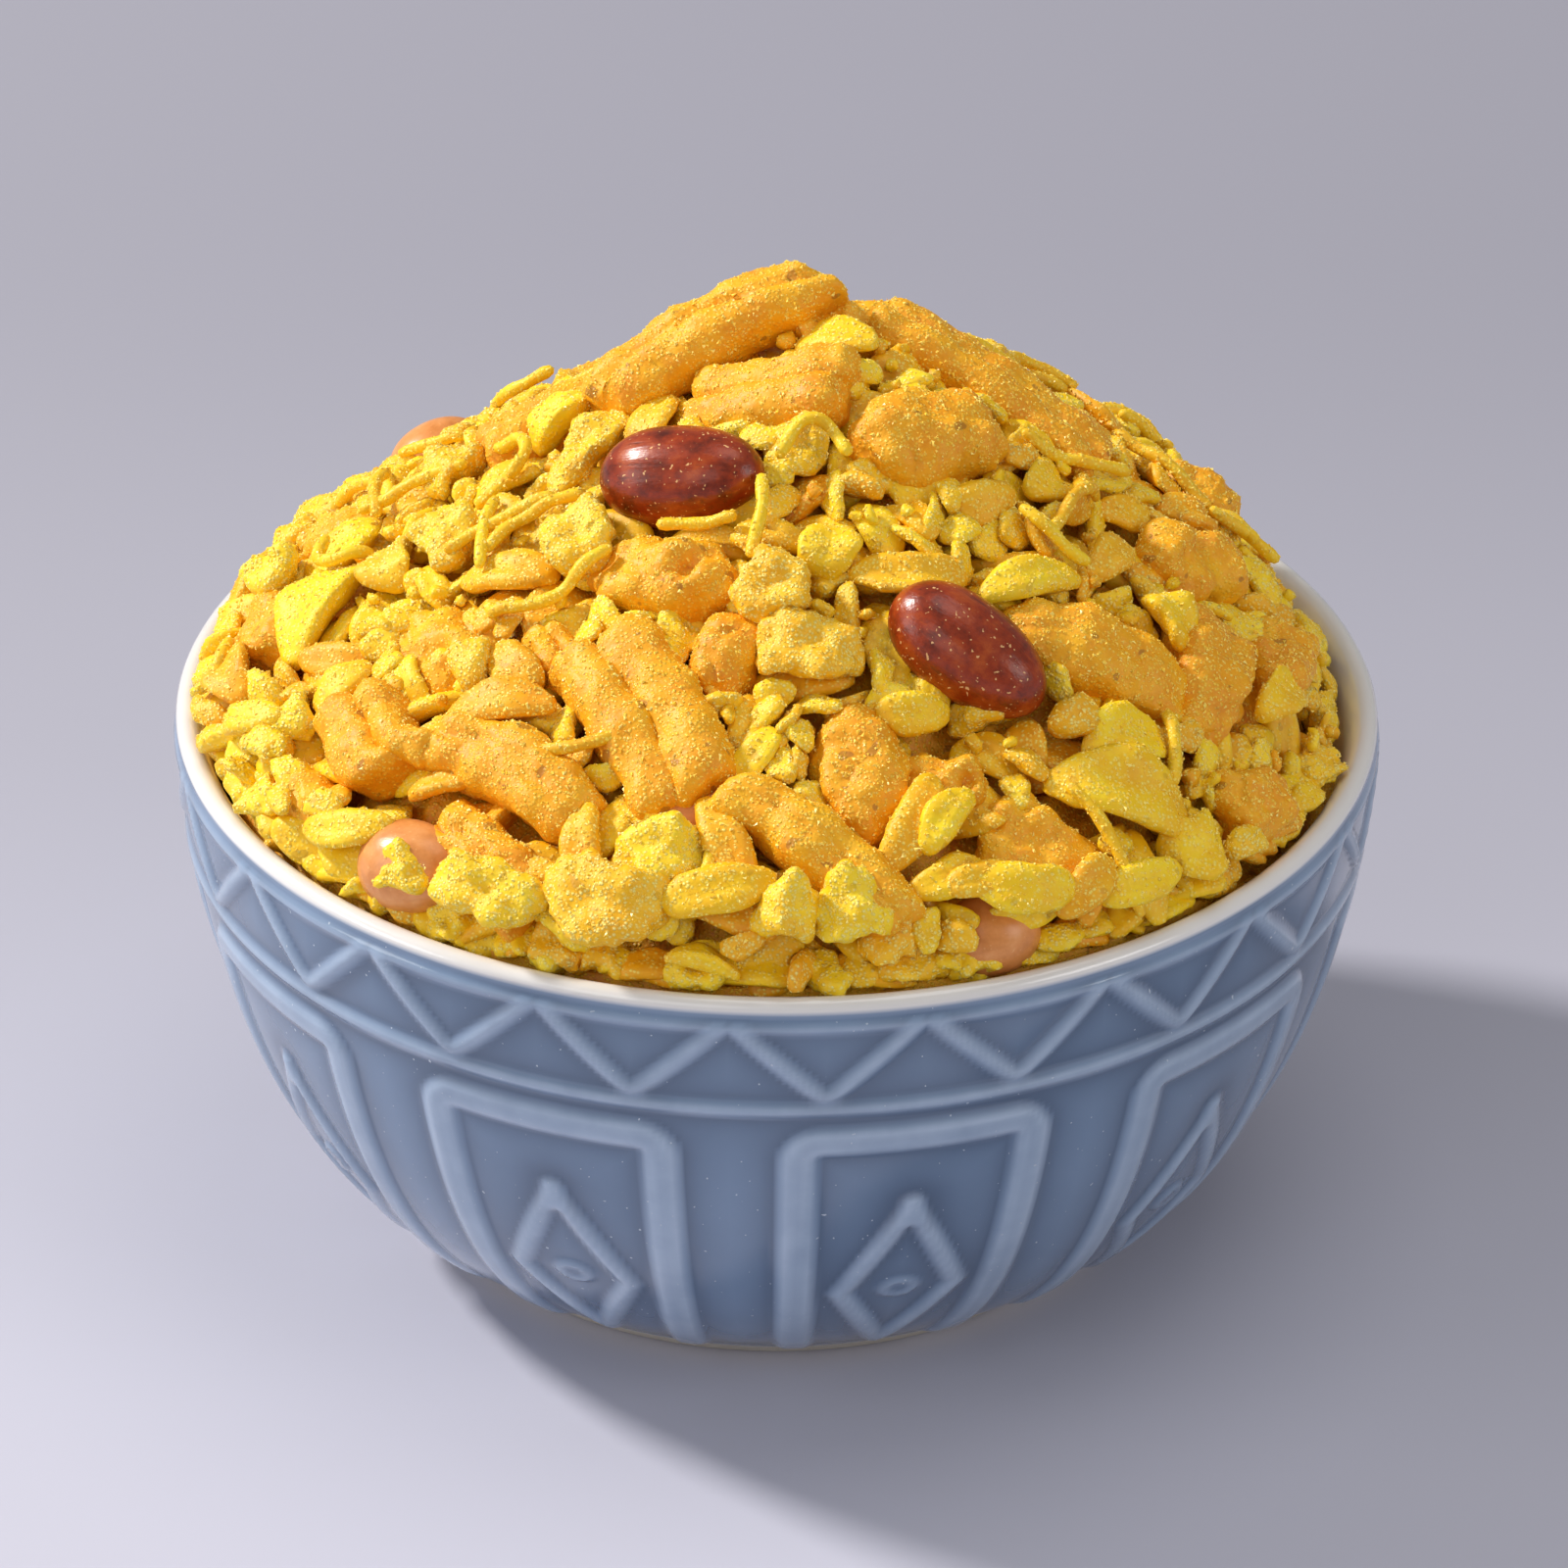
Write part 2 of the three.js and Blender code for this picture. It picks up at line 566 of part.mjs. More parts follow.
function redNut(x, y, heading, rise, pitch, grow) {
  const size = {
    long: NUT_LONG + 2 * grow,
    wide: NUT_WIDE + 2 * grow,
    thick: NUT_WIDE - 0.4 + 2 * grow,
    rough: 0,
    across: 9,
    down: 7,
  };
  return seat(lump(size, () => 0.5), x, y, { heading, rise, pitch });
}

function pieceFrom([form, x, y, heading, [long, wide, thick], [rise, pitch, roll]], random) {
  return seat(form({ long, wide, thick }, random), x, y, { heading, rise, pitch, roll });
}

// Sites spread evenly over the heap by the golden angle, as [x, y].
function sunflower(count, reach) {
  return Array.from({ length: count }, (_, i) => {
    const r = reach * Math.sqrt((i + 0.5) / count);
    const t = i * 2.39996;
    return [r * Math.cos(t), r * Math.sin(t)];
  });
}

function heap() {
  const random = randomFrom(SEED + 1);
  const taken = [];
  const pieces = [];
  for (const row of Object.values(bigPieces)) {
    pieces.push(pieceFrom(row, random));
    taken.push([row[1], row[2], row[4][0] * 0.36]);
  }
  for (const [x, y] of Object.values(redNuts)) taken.push([x, y, 7]);
  const clearOf = (x, y, room) => taken.every(([a, b, r]) => Math.hypot(x - a, y - b) > r + room);
  for (const [x, y] of sunflower(BACK_STRIPS * 3, 46)) {
    if (y < 6 || !clearOf(x, y, 5)) continue;
    const size = { long: 12 + 9 * random(), wide: 7 + 2.5 * random(), thick: 5.5 + random() };
    const place = { heading: 360 * random(), rise: -1.6, pitch: 10 * (random() - 0.5) };
    pieces.push(seat((random() < 0.6 ? strip : lump)(size, random), x, y, place));
    taken.push([x, y, size.long * 0.36]);
  }
  for (const [x, y, heading, size, place] of Object.values(shownFlakes)) {
    const [rise, pitch, roll] = place;
    pieces.push(pieceFrom([flake, x, y, heading, size, [rise + 0.4, pitch, roll]], random));
    taken.push([x, y, size[0] * 0.3]);
  }
  for (const [x, y] of sunflower(FILL_SITES, 52)) {
    if (!clearOf(x, y, y > -5 ? 0.6 : 3)) continue;
    const size = { long: 8 + 4 * random(), wide: 4.6 + 2.2 * random(), thick: 3 + random() };
    const place = { heading: 360 * random(), rise: -0.8, pitch: 40 * (random() - 0.5) };
    pieces.push(seat(flake(size, random), x, y, place));
    taken.push([x, y, size.long * 0.3]);
  }
  pieces.push(...noodles.map(noodle));
  const inside = innerWall(GAP);
  const outside = [
    [0, -5],
    [66, -5],
    [66, RIM_TOP + GAP],
    [56.1, RIM_TOP + GAP],
  ];
  const bowlRoom = turned([...inside, ...outside, inside[0]]);
  const nutRoom = Object.values(redNuts).map((row) => redNut(...row, GAP));
  const whole = wasm.Manifold.union([core(), ...pieces]);
  const cut = whole.subtract(wasm.Manifold.union([bowlRoom, ...nutRoom]));
  return largest(largest(cut).simplify(0.22));
}

function largest(solid) {
  return solid.decompose().sort((a, b) => b.volume() - a.volume())[0];
}

function material(color, roughness) {
  return new THREE.MeshStandardMaterial({ color, roughness, metalness: 0 });
}

const group = new THREE.Group();

function add(name, solid, look) {
  const mesh = new THREE.Mesh(geometryOf(solid), look);
  mesh.name = name;
  group.add(mesh);
}

add("bowl", bowl(), material(GLAZE, 0.2));
add("mix_heap", heap(), material(MIX, 0.7));
for (const [name, row] of Object.entries(redNuts)) {
  add(name, redNut(...row, 0), material(SKIN, 0.35));
}

export default group;
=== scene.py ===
import json
import math
import bmesh
import bpy
import numpy as np
from mathutils import Matrix, Vector

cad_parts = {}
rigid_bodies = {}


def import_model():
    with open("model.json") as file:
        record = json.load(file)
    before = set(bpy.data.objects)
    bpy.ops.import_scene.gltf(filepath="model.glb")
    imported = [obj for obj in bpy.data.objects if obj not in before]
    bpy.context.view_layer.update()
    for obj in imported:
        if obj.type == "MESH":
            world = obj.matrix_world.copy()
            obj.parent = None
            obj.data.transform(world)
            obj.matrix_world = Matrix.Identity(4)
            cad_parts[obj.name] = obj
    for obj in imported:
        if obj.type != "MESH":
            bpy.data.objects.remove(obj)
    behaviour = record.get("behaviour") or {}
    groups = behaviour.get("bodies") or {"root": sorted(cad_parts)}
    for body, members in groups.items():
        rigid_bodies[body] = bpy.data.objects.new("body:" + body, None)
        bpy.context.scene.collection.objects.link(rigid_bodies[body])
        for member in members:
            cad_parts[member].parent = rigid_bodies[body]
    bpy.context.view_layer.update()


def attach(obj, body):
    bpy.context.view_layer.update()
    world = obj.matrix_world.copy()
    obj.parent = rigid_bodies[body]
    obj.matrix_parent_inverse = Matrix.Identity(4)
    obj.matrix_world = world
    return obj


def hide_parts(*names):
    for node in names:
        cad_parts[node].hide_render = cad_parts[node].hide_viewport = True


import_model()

mm = 0.001
scene = bpy.context.scene

# The glazed bowl. Sizes in millimetres, azimuths in degrees from the front toward +X.
bowl = {
    "wallRadius": 57.0, "wallTop": 50.9, "wallDepth": 53.33, "wallPower": 1.661,
    "wallRounding": 4.046, "around": 600, "up": 134, "panels": 10, "panelCentre": 13.85,
    "lineHeight": 0.45, "upperLine": 50.6, "lowerLine": 41.5,
    "zigzag": {"low": 42.9, "high": 50.2, "width": 1.3},
    "panel": {"half": 13.1, "top": 37.6, "line": 3.0},
    "lozenge": {"top": 28.5, "middle": 16.5, "low": 5.8, "half": 6.5, "line": 1.7},
    "eye": {"z": 16.8, "wide": 1.4, "high": 1.25, "line": 0.7},
    "glaze": ((0.128, 0.205, 0.335), (0.205, 0.305, 0.465)),
    "ridge": (0.37, 0.47, 0.62), "moat": (0.042, 0.075, 0.145),
    "lip": (0.78, 0.76, 0.74), "clay": (0.70, 0.64, 0.53),
    "roughness": 0.2, "coat": 0.6,
}

# The heap's form, to the tops of its pieces.
heap = {
    "radius": 54.5, "top": 90.0, "edge": 51.5, "power": 0.72, "apex": (7.0, 4.0),
    "coreDrop": 4.8, "fillHigh": 52.3, "fillLow": 46.0, "frontRise": 2.2, "rightDrop": 4.5,
    "seed": 20461,
}

# Big crisp pieces: kind, variant, x, y, heading, (long, wide, thick), (rise, pitch, roll).
bigPieces = {
    "summitStrip": ("strip", 3, -5.5, 7, 12, (24.6, 7.6, 6.6), (2.2, 4, 20)),
    "frontStrip": ("strip", 1, -1, -2, -14, (17.5, 8.6, 6), (-0.8, 8, 8)),
    "ridgeStrip": ("strip", 2, 20, 6, -12, (27, 8, 6), (-0.8, 0, 14)),
    "hiddenTip": ("strip", 0, 6.2, 9.5, 30, (11, 5.6, 5), (-0.8, 14, 0)),
    "fingerStrip": ("strip", 5, 29.5, -23.5, -10, (20, 8.5, 6.5), (-1.2, 0, 10)),
    "doubleStrip": ("strip", 2, -12, -34, -69, (21.5, 11, 6.2), (-0.8, 0, 4)),
    "leftRoll": ("strip", 0, -23.9, -35.9, -47, (18.5, 7.4, 6.6), (-0.9, 0, 0)),
    "cornerFold": ("strip", 4, -37.2, -27.5, -80, (15, 9, 6), (-0.6, 0, 10)),
    "notchedFold": ("strip", 3, -26.6, -42.9, -56, (13.4, 7.6, 6.6), (-2.2, 0, 0)),
    "slimStrip": ("strip", 0, 3.8, -46.7, -45, (21.5, 6.2, 5.8), (0, 0, 0)),
    "plumpNugget": ("nugget", 0, 7.5, -39.5, -78, (14, 8.5, 7), (-1.6, 0, 0)),
    "halfNugget": ("nugget", 1, 15.3, -39.4, -10, (9, 6.6, 6), (-2.4, 0, 0)),
    "flatChip": ("nugget", 3, 24.6, -43, -15, (13, 9.2, 5), (-1.6, 0, 0)),
    "shortRoll": ("strip", 5, -4.4, -28.6, 60, (9.8, 6.4, 6), (-1.8, 0, 0)),
    "crumbNugget": ("nugget", 1, -10.5, -20, -20, (14.5, 9, 8), (-1.5, 0, 0)),
    "crownNugget": ("nugget", 0, 14, -7, 20, (15, 10, 9), (-1, 0, 0)),
    "bigRound": ("nugget", 4, 40.2, -18.4, -83, (16, 10, 8), (-1.4, 0, 0)),
    "doubleLobe": ("nugget", 2, 38.9, -4.6, 35, (14, 9.4, 9), (-1, 0, 0)),
    "rimBlock": ("nugget", 3, 47.8, -8.8, -80, (12.4, 7, 8), (-1.9, 0, 0)),
    "smallNugget": ("nugget", 3, 44.3, -28.6, 40, (8.2, 6.8, 6.2), (-1.2, 0, 0)),
    "skyChip": ("nugget", 3, 40.5, 13, -32, (9, 6, 6), (-0.4, 0, 0)),
    "leftLobe": ("nugget", 0, -48, -2.5, -80, (11, 7, 7), (-1, 0, 0)),
    "leftChip": ("strip", 5, -44.2, -28.2, -67, (9.5, 5.6, 5.6), (-2.2, 0, 0)),
    "roughNugget": ("nugget", 1, -32, -18.6, -53, (12, 8.6, 7), (-2.4, 0, 0)),
    "sliver": ("strip", 4, -20.4, -25, -70, (9.4, 4.4, 4.4), (-2, 0, 0)),
    "leftSky": ("strip", 5, -42, 10, -36, (10, 5, 4), (-0.8, 0, 0)),
}

# Flakes that show singly, placed the same way.
shownFlakes = {
    "leftWing": ("leaf", 0, -43, -6, 50, (13.5, 7.2, 3.4), (0.4, 0, 0)),
    "paleTab": ("rough", 0, -47, 4, -80, (8, 5.5, 4), (1.4, 10, 0)),
    "yolkTab": ("leaf", 1, -36, -5, 87, (7, 5.6, 3), (0.4, 0, 0)),
    "crispPale": ("rough", 1, -31, -6, -69, (8.5, 6.4, 4), (0.2, 0, 0)),
    "lowSlip": ("slip", 0, -25, -14, -18, (11, 4.8, 2.6), (0, 0, 0)),
    "roughPuff": ("rough", 2, -18.5, -14, -70, (9, 7, 5), (-0.2, 0, 0)),
    "lozengeSlip": ("slip", 1, -25, -30, -5, (11.2, 4.6, 2.8), (0.8, 0, 0)),
    "smoothGrain": ("grain", 0, -27.5, -24, 75, (6.4, 4, 3.4), (0.6, 0, 0)),
    "rimSlip": ("slip", 2, -48.5, -18.5, -20, (8.5, 3.9, 2.6), (0.4, 0, 0)),
    "rimWing": ("leaf", 2, -50.5, -9, -79, (8, 5, 3), (0.8, 0, 0)),
    "midTab": ("rough", 3, -44.5, -19.5, -80, (6, 4.6, 3.4), (0.2, 0, 0)),
    "crossSlip": ("slip", 3, -39, -36, -14, (10.5, 4, 2.6), (0.2, 0, 0)),
    "uprightSlip": ("slip", 1, -17, -44.5, 86, (9.2, 3.8, 2.8), (0.8, 0, 0)),
    "bumpyFront": ("rough", 0, -10.5, -47, -11, (8.6, 6.4, 4.4), (0.2, 0, 0)),
    "leanSlip": ("slip", 0, -4.5, -46, -73, (10.5, 4.2, 2.6), (1, 0, 0)),
    "rimTab": ("rough", 1, -34, -43, -23, (6, 4.6, 3.4), (0, 0, 0)),
    "rimRough": ("rough", 2, -26, -47.6, -22, (12.4, 5.8, 4.4), (0.2, 0, 0)),
    "bigRough": ("rough", 3, -15, -50.6, -17, (12.4, 7.8, 5), (0.2, 0, 0)),
    "longSlip": ("slip", 2, -5, -51.2, 16, (11.2, 4.8, 2.8), (0.4, 0, 0)),
    "rimBall": ("rough", 0, 1, -52.6, 10, (6.6, 6, 5), (0, 0, 0)),
    "rimFlat": ("rough", 1, 7, -52.3, 11, (7.4, 6.8, 4.4), (0, 0, 0)),
    "twinNear": ("slip", 3, 12, -44, 74, (11.5, 4.3, 3), (1.2, 0, 0)),
    "twinFar": ("slip", 1, 15, -44.5, 67, (8, 3.7, 2.8), (1.2, 0, 0)),
    "pairLow": ("slip", 0, 15.5, -48, 26, (8.2, 4.1, 2.8), (0.6, 0, 0)),
    "pairHigh": ("slip", 2, 18.5, -48.5, 22, (7.6, 3.5, 2.6), (0.6, 0, 0)),
    "paleSlip": ("slip", 3, 22, -48.2, 3, (10.6, 4.9, 2.8), (1.2, 0, 0)),
    "rimUpright": ("slip", 0, 28, -46.2, 70, (8, 4, 2.8), (0.6, 0, 0)),
    "rimLong": ("slip", 2, 33, -43, 37, (9.8, 4.1, 2.8), (0.2, 0, 0)),
    "rimRound": ("leaf", 3, 38, -36.6, 31, (7.2, 6.4, 3.6), (0.2, 0, 0)),
    "rimSeed": ("grain", 1, 43, -33, 43, (5.2, 3.2, 2.8), (0.2, 0, 0)),
    "bigWing": ("leaf", 0, 31, -36, -5, (14.6, 7.4, 3.6), (0.8, 0, 0)),
    "plate": ("leaf", 1, 32, -31.5, 33, (9, 6.4, 3), (-0.4, 0, 0)),
    "curlOver": ("rough", 2, 3, -30, -5, (10.4, 6.8, 4.4), (0.2, 0, 0)),
    "roughKnob": ("rough", 3, -0.5, -24.5, 61, (8, 6.8, 5), (-0.2, 0, 0)),
    "roundLeaf": ("leaf", 2, 4.5, -20, 81, (6, 5.8, 3), (0.2, 0, 0)),
    "upperLeaf": ("leaf", 3, 12, -22, 5, (11.2, 4.4, 2.8), (0.2, 0, 0)),
    "longRib": ("slip", 1, 23, -19.5, 30, (11.8, 4.2, 3), (0.2, 0, 0)),
    "darkLeaf": ("leaf", 1, 36, -17, -38, (6.8, 4.6, 3), (0.6, 0, 0)),
    "wingLeaf": ("leaf", 0, 46.8, -16, 56, (8, 4.4, 2.8), (0.2, 0, 0)),
    "topLeaf": ("leaf", 2, -20, 6, 20, (7.6, 5.4, 3.2), (1.4, 10, 0)),
    "barLeaf": ("rough", 0, -17.5, -1.5, 44, (12, 4.8, 3.4), (0.2, 0, 0)),
    "farLeaf": ("rough", 1, -30, 7, 40, (8, 5.4, 3.6), (1, 0, 0)),
    "highLeaf": ("leaf", 3, 38.5, 3, 20, (7.6, 4.6, 3), (0.2, 0, 0)),
    "spikeLeaf": ("slip", 0, 30.5, -12, 62, (7.6, 4.2, 2.8), (0.2, 0, 0)),
    "wedgeGrain": ("grain", 2, 27, -31, 60, (6, 4, 3.2), (0.2, 0, 0)),
}

# Blanched peanuts that show: x, y, heading, (long, wide, thick), rise.
paleNuts = {
    "pearNut": (-33.5, -40.2, -24, (11, 8.6, 8.4), -1.6),
    "rimNut": (20.5, -49.8, 15, (9, 7.8, 7.6), -2.6),
    "deepNut": (-8, -42.5, 40, (10, 7.8, 7.6), -3.4),
    "backNut": (12, 36, 70, (11, 8.6, 8.4), -1.6),
    "sideNut": (-34, 30, 10, (10.4, 8.2, 8), -1.8),
}

# Red-skinned peanuts: node, x, y, heading, rise, pitch.
redNuts = {
    "redNutLeft": ("peanut_left", -8.7, -10, -16, 0.6, 4),
    "redNutRight": ("peanut_right", 17.2, -28, -33, 0.6, -4),
}
redNut = {"long": 16.5, "wide": 9.8, "thick": 9.4}

# Noodles that show, through points [x, y, rise over what they lie on].
shownNoodles = [
    [(0, -12, 0.2), (2, -9.8, 1.4), (5, -9.8, 1.4), (6.4, -12.4, 0.4)],
    [(-27, -12, 0), (-25, -9.6, 0.8), (-22, -9, 0.5), (-18, -8.6, 0)],
    [(-26.5, -19.5, 0), (-22, -20.6, 0.6), (-18.5, -19.4, 0.6), (-15.5, -17.8, 0)],
    [(-27.6, -14, 0), (-27.4, -9, 0.6), (-26.4, -5.4, 0.2)],
    [(-38, 4, 0.2), (-38.6, 9, 1.4), (-37.4, 12, 0.4)],
    [(25, -15, 0.2), (27, -10, 0.8), (29.6, -5.4, 0.2)],
    [(22.4, -13, 0), (24, -14.6, 0.6), (28.6, -15.6, 0)],
    [(36.2, -34, 0), (36.4, -30, 0.8), (35.6, -26.6, 0.2)],
    [(26.4, -38.6, 0), (28.6, -40, 0.6), (31, -42.6, 0.6), (33, -45.4, 0)],
    [(-12.4, -48, 0), (-11.6, -50.2, 0.6), (-8.4, -51.2, 0.8), (-5.8, -50, 0.6), (-6, -48, 0)],
    [(-22, -36.6, 0), (-18, -37.8, 0.6), (-14.4, -37, 0)],
    [(-11, -16.6, 0.2), (-7.4, -16.8, 0.6), (-4, -17.6, 0.2)],
    [(-2.6, -22, 0), (-1.4, -18, 0.8), (-1.6, -14.4, 0.4)],
    [(-53, -9, 0.2), (-52.2, -6.4, 0.8), (-51.6, -4, 0.2)],
]

# How many of each kind fill the rest of the heap, their sizes and their meshes.
fill = {
    "strip": {"long": (12, 21), "wide": (7, 9.5), "thick": (5.5, 6.6)},
    "nugget": {"long": (9, 15), "wide": (7, 10), "thick": (6, 8)},
    "rough": {"long": (5.5, 10), "wide": (4.2, 6.6), "thick": (3.0, 4.6)},
    "leaf": {"long": (6.5, 11), "wide": (4.4, 6.6), "thick": (2.4, 3.2)},
    "slip": {"long": (7, 11), "wide": (3.4, 5.0), "thick": (2.0, 2.7)},
    "grain": {"long": (4.4, 7.0), "wide": (2.8, 4.0), "thick": (1.5, 2.1)},
    "crumb": {
        "count": 620, "long": (1.2, 2.8), "wide": (1, 1.8), "thick": (0.8, 1.6), "tilt": 0.6,
        "reach": 52.5, "over": 1.2, "under": 9.0, "onBig": 0.9, "share": 0.6,
    },
    "mixture": {"rough": 0.26, "leaf": 0.18, "slip": 0.42, "grain": 0.14},
    "tilt": {"rough": 0.5, "leaf": 0.45, "slip": 0.5, "grain": 0.6},
    # How deep a hollow is filled, how far a piece may stand over the top that is filled to, past
    # which height it is left out, and how even the heap is at the end.
    "hollow": 1.3, "proud": 1.7, "tooProud": 2.8, "even": 20,
    # Each pass: how far under the heap's top it fills to, its tries, how much may lie on big pieces.
    "under": (1.8, 1300, 1.0),
    "over": (0.0, 1700, 0.25),
    "gaps": (0.6, 900, 0.5),
    # Flakes that lean on the lip: from and to azimuth, steps, radius and height of their middles.
    "rim": {"from": -118, "to": 76, "count": 84, "radius": (52.7, 53.7), "z": (53.3, 54.3)},
    "backRim": {"from": 122, "to": 242, "count": 110, "radius": (51.4, 53.4), "z": (53.0, 55.6)},
}
meshes = {
    "strip": (44, 42), "nugget": (40, 38), "rough": (26, 22), "leaf": (22, 16),
    "slip": (14, 12), "grain": (10, 9), "crumb": (6, 6),
}
noodleLook = {"radius": 0.62, "sides": 9, "count": 40}
dust = {
    "sugarGrains": {"count": 22000, "small": 0.24, "large": 0.5, "seed": 3},
    "fineSugar": {"count": 48000, "small": 0.12, "large": 0.28, "seed": 8},
}

# The mix's colours: a body from dark to light, its crystals and how bare of them it is, how the
# colour differs from piece to piece, how coarse the surface is, its wrinkles with painted shade in their
# creases, and brown spots.
looks = {
    "crispOrange": {
        "body": ((0.80, 0.29, 0.002), (0.88, 0.385, 0.003), (0.93, 0.48, 0.008)),
        "sugar": (1.0, 0.64, 0.06), "hues": ((0.97, 0.93, 0.9), (1.0, 1.0, 1.0), (1.04, 1.12, 1.3)),
        "bare": 0.9, "grain": 1.0, "wrinklesAndShade": 0.3, "spots": 0.5,
    },
    "flakeYellow": {
        "body": ((0.86, 0.44, 0.002), (0.93, 0.56, 0.003), (0.97, 0.67, 0.01)),
        "sugar": (1.0, 0.82, 0.16), "hues": ((0.94, 0.68, 0.6), (1.0, 1.0, 1.0), (1.04, 1.16, 2.0)),
        "bare": 1.0, "grain": 0.8, "wrinklesAndShade": 0.0, "spots": 0.25,
    },
    "puffedYellow": {
        "body": ((0.88, 0.48, 0.002), (0.95, 0.61, 0.005), (0.99, 0.74, 0.03)),
        "sugar": (1.0, 0.88, 0.26), "hues": ((0.95, 0.72, 0.7), (1.0, 1.0, 1.0), (1.03, 1.12, 2.0)),
        "bare": 0.7, "grain": 1.2, "wrinklesAndShade": 0.0, "spots": 0.25,
    },
    "noodleYellow": {
        "body": ((0.84, 0.42, 0.002), (0.91, 0.54, 0.006), (0.95, 0.65, 0.015)),
        "sugar": (1.0, 0.80, 0.10), "hues": ((0.92, 0.82, 0.8), (1.0, 1.0, 1.0), (1.02, 1.12, 1.6)),
        "bare": 0.95, "grain": 0.6, "wrinklesAndShade": 0.0, "spots": 0.2,
    },
    # The core under the pieces is painted a dark golden brown like the deep shade between them: painted
    # shade, so the gaps read as pieces lying deeper.
    "crumbCore": {
        "body": ((0.50, 0.16, 0.002), (0.74, 0.32, 0.004), (0.90, 0.52, 0.01)),
        "sugar": (0.97, 0.66, 0.07), "hues": ((1.0, 1.0, 1.0), (1.0, 1.0, 1.0), (1.0, 1.0, 1.0)),
        "bare": 0.8, "grain": 1.6, "wrinklesAndShade": 0.0, "spots": 0.5,
    },
}
nutLooks = {
    "blanchedNut": {
        "body": ((0.58, 0.20, 0.04), (0.74, 0.29, 0.08), (0.84, 0.40, 0.15)),
        "roughness": 0.32, "dusty": 0.35, "veined": 0.3,
    },
    "redNutSkin": {
        "body": ((0.085, 0.007, 0.001), (0.29, 0.030, 0.003), (0.48, 0.09, 0.01)),
        "roughness": 0.3, "dusty": 0.8, "veined": 0.8,
    },
}

rng = np.random.default_rng(heap["seed"])


def smoothstep(value, low, high):
    t = np.clip((value - low) / (high - low), 0, 1)
    return t * t * (3 - 2 * t)


def meshObject(name, verts, faces, scale=mm):
    mesh = bpy.data.meshes.new(name)
    mesh.from_pydata((np.asarray(verts, float) * scale).tolist(), [], faces)
    mesh.update()
    obj = bpy.data.objects.new(name, mesh)
    scene.collection.objects.link(obj)
    return obj


def tidyMesh(obj):
    bm = bmesh.new()
    bm.from_mesh(obj.data)
    bmesh.ops.remove_doubles(bm, verts=bm.verts, dist=1e-7)
    bmesh.ops.recalc_face_normals(bm, faces=bm.faces)
    bm.to_mesh(obj.data)
    bm.free()
    obj.data.shade_smooth()


def paint(mesh, name, values, form="FLOAT"):
    layer = mesh.attributes.new(name, form, "POINT")
    kind = np.int32 if form == "INT" else np.float32
    field = "vector" if form == "FLOAT_VECTOR" else "value"
    layer.data.foreach_set(field, np.asarray(values).astype(kind).ravel())


def gridFaces(rows, columns, closed=True):
    faces = []
    for i in range(rows - 1):
        for k in range(columns if closed else columns - 1):
            n = (k + 1) % columns
            a, b = i * columns, (i + 1) * columns
            faces.append((a + k, a + n, b + n, b + k))
    return faces


def tubeFaces(stops, sides):
    # Faces of a tube of stops rings closed by a point at each end, first and last.
    faces = []
    tip = 1 + stops * sides
    for k in range(sides):
        n = (k + 1) % sides
        faces.append((0, 1 + n, 1 + k))
        faces.append((tip - sides + k, tip - sides + n, tip))
    for j in range(stops - 1):
        a, b = 1 + j * sides, 1 + (j + 1) * sides
        for k in range(sides):
            n = (k + 1) % sides
            faces.append((a + k, a + n, b + n, b + k))
    return faces


def closeEnds(obj, first, last):
    # A face over each of two rings of points.
    bm = bmesh.new()
    bm.from_mesh(obj.data)
    bm.verts.ensure_lookup_table()
    for ring in (first, last):
        bm.faces.new([bm.verts[k] for k in ring])
    bmesh.ops.recalc_face_normals(bm, faces=bm.faces)
    bm.to_mesh(obj.data)
    bm.free()


# The bowl's form.

def wallRadius(z):
    drop = np.clip(bowl["wallTop"] - z, 0, None) / bowl["wallDepth"]
    return bowl["wallRadius"] * (1 - drop ** bowl["wallPower"]) ** (1 / bowl["wallRounding"])


def wallLean(z):
    slope = (wallRadius(z + 0.3) - wallRadius(z - 0.3)) / 0.6
    length = np.hypot(1, slope)
    return 1 / length, -slope / length


wallZ = np.linspace(2.6, 51.9, 600)
wallS = np.concatenate([[0], np.cumsum(np.hypot(np.diff(wallRadius(wallZ)), np.diff(wallZ)))])


def alongWall(z):
    return np.interp(z, wallZ, wallS)


def lineDistance(u, s, path):
    # Distance from points (u, s) on the unrolled wall to a path of [azimuth, z] stations.
    path = np.array(path, float)
    pu = wallRadius(path[:, 1]) * np.radians(path[:, 0])
    ps = alongWall(path[:, 1])
    best = np.full(u.shape, 1e3)
    for i in range(len(path) - 1):
        du, ds = pu[i + 1] - pu[i], ps[i + 1] - ps[i]
        t = np.clip(((u - pu[i]) * du + (s - ps[i]) * ds) / (du * du + ds * ds), 0, 1)
        best = np.minimum(best, np.hypot(u - pu[i] - t * du, s - ps[i] - t * ds))
    return best


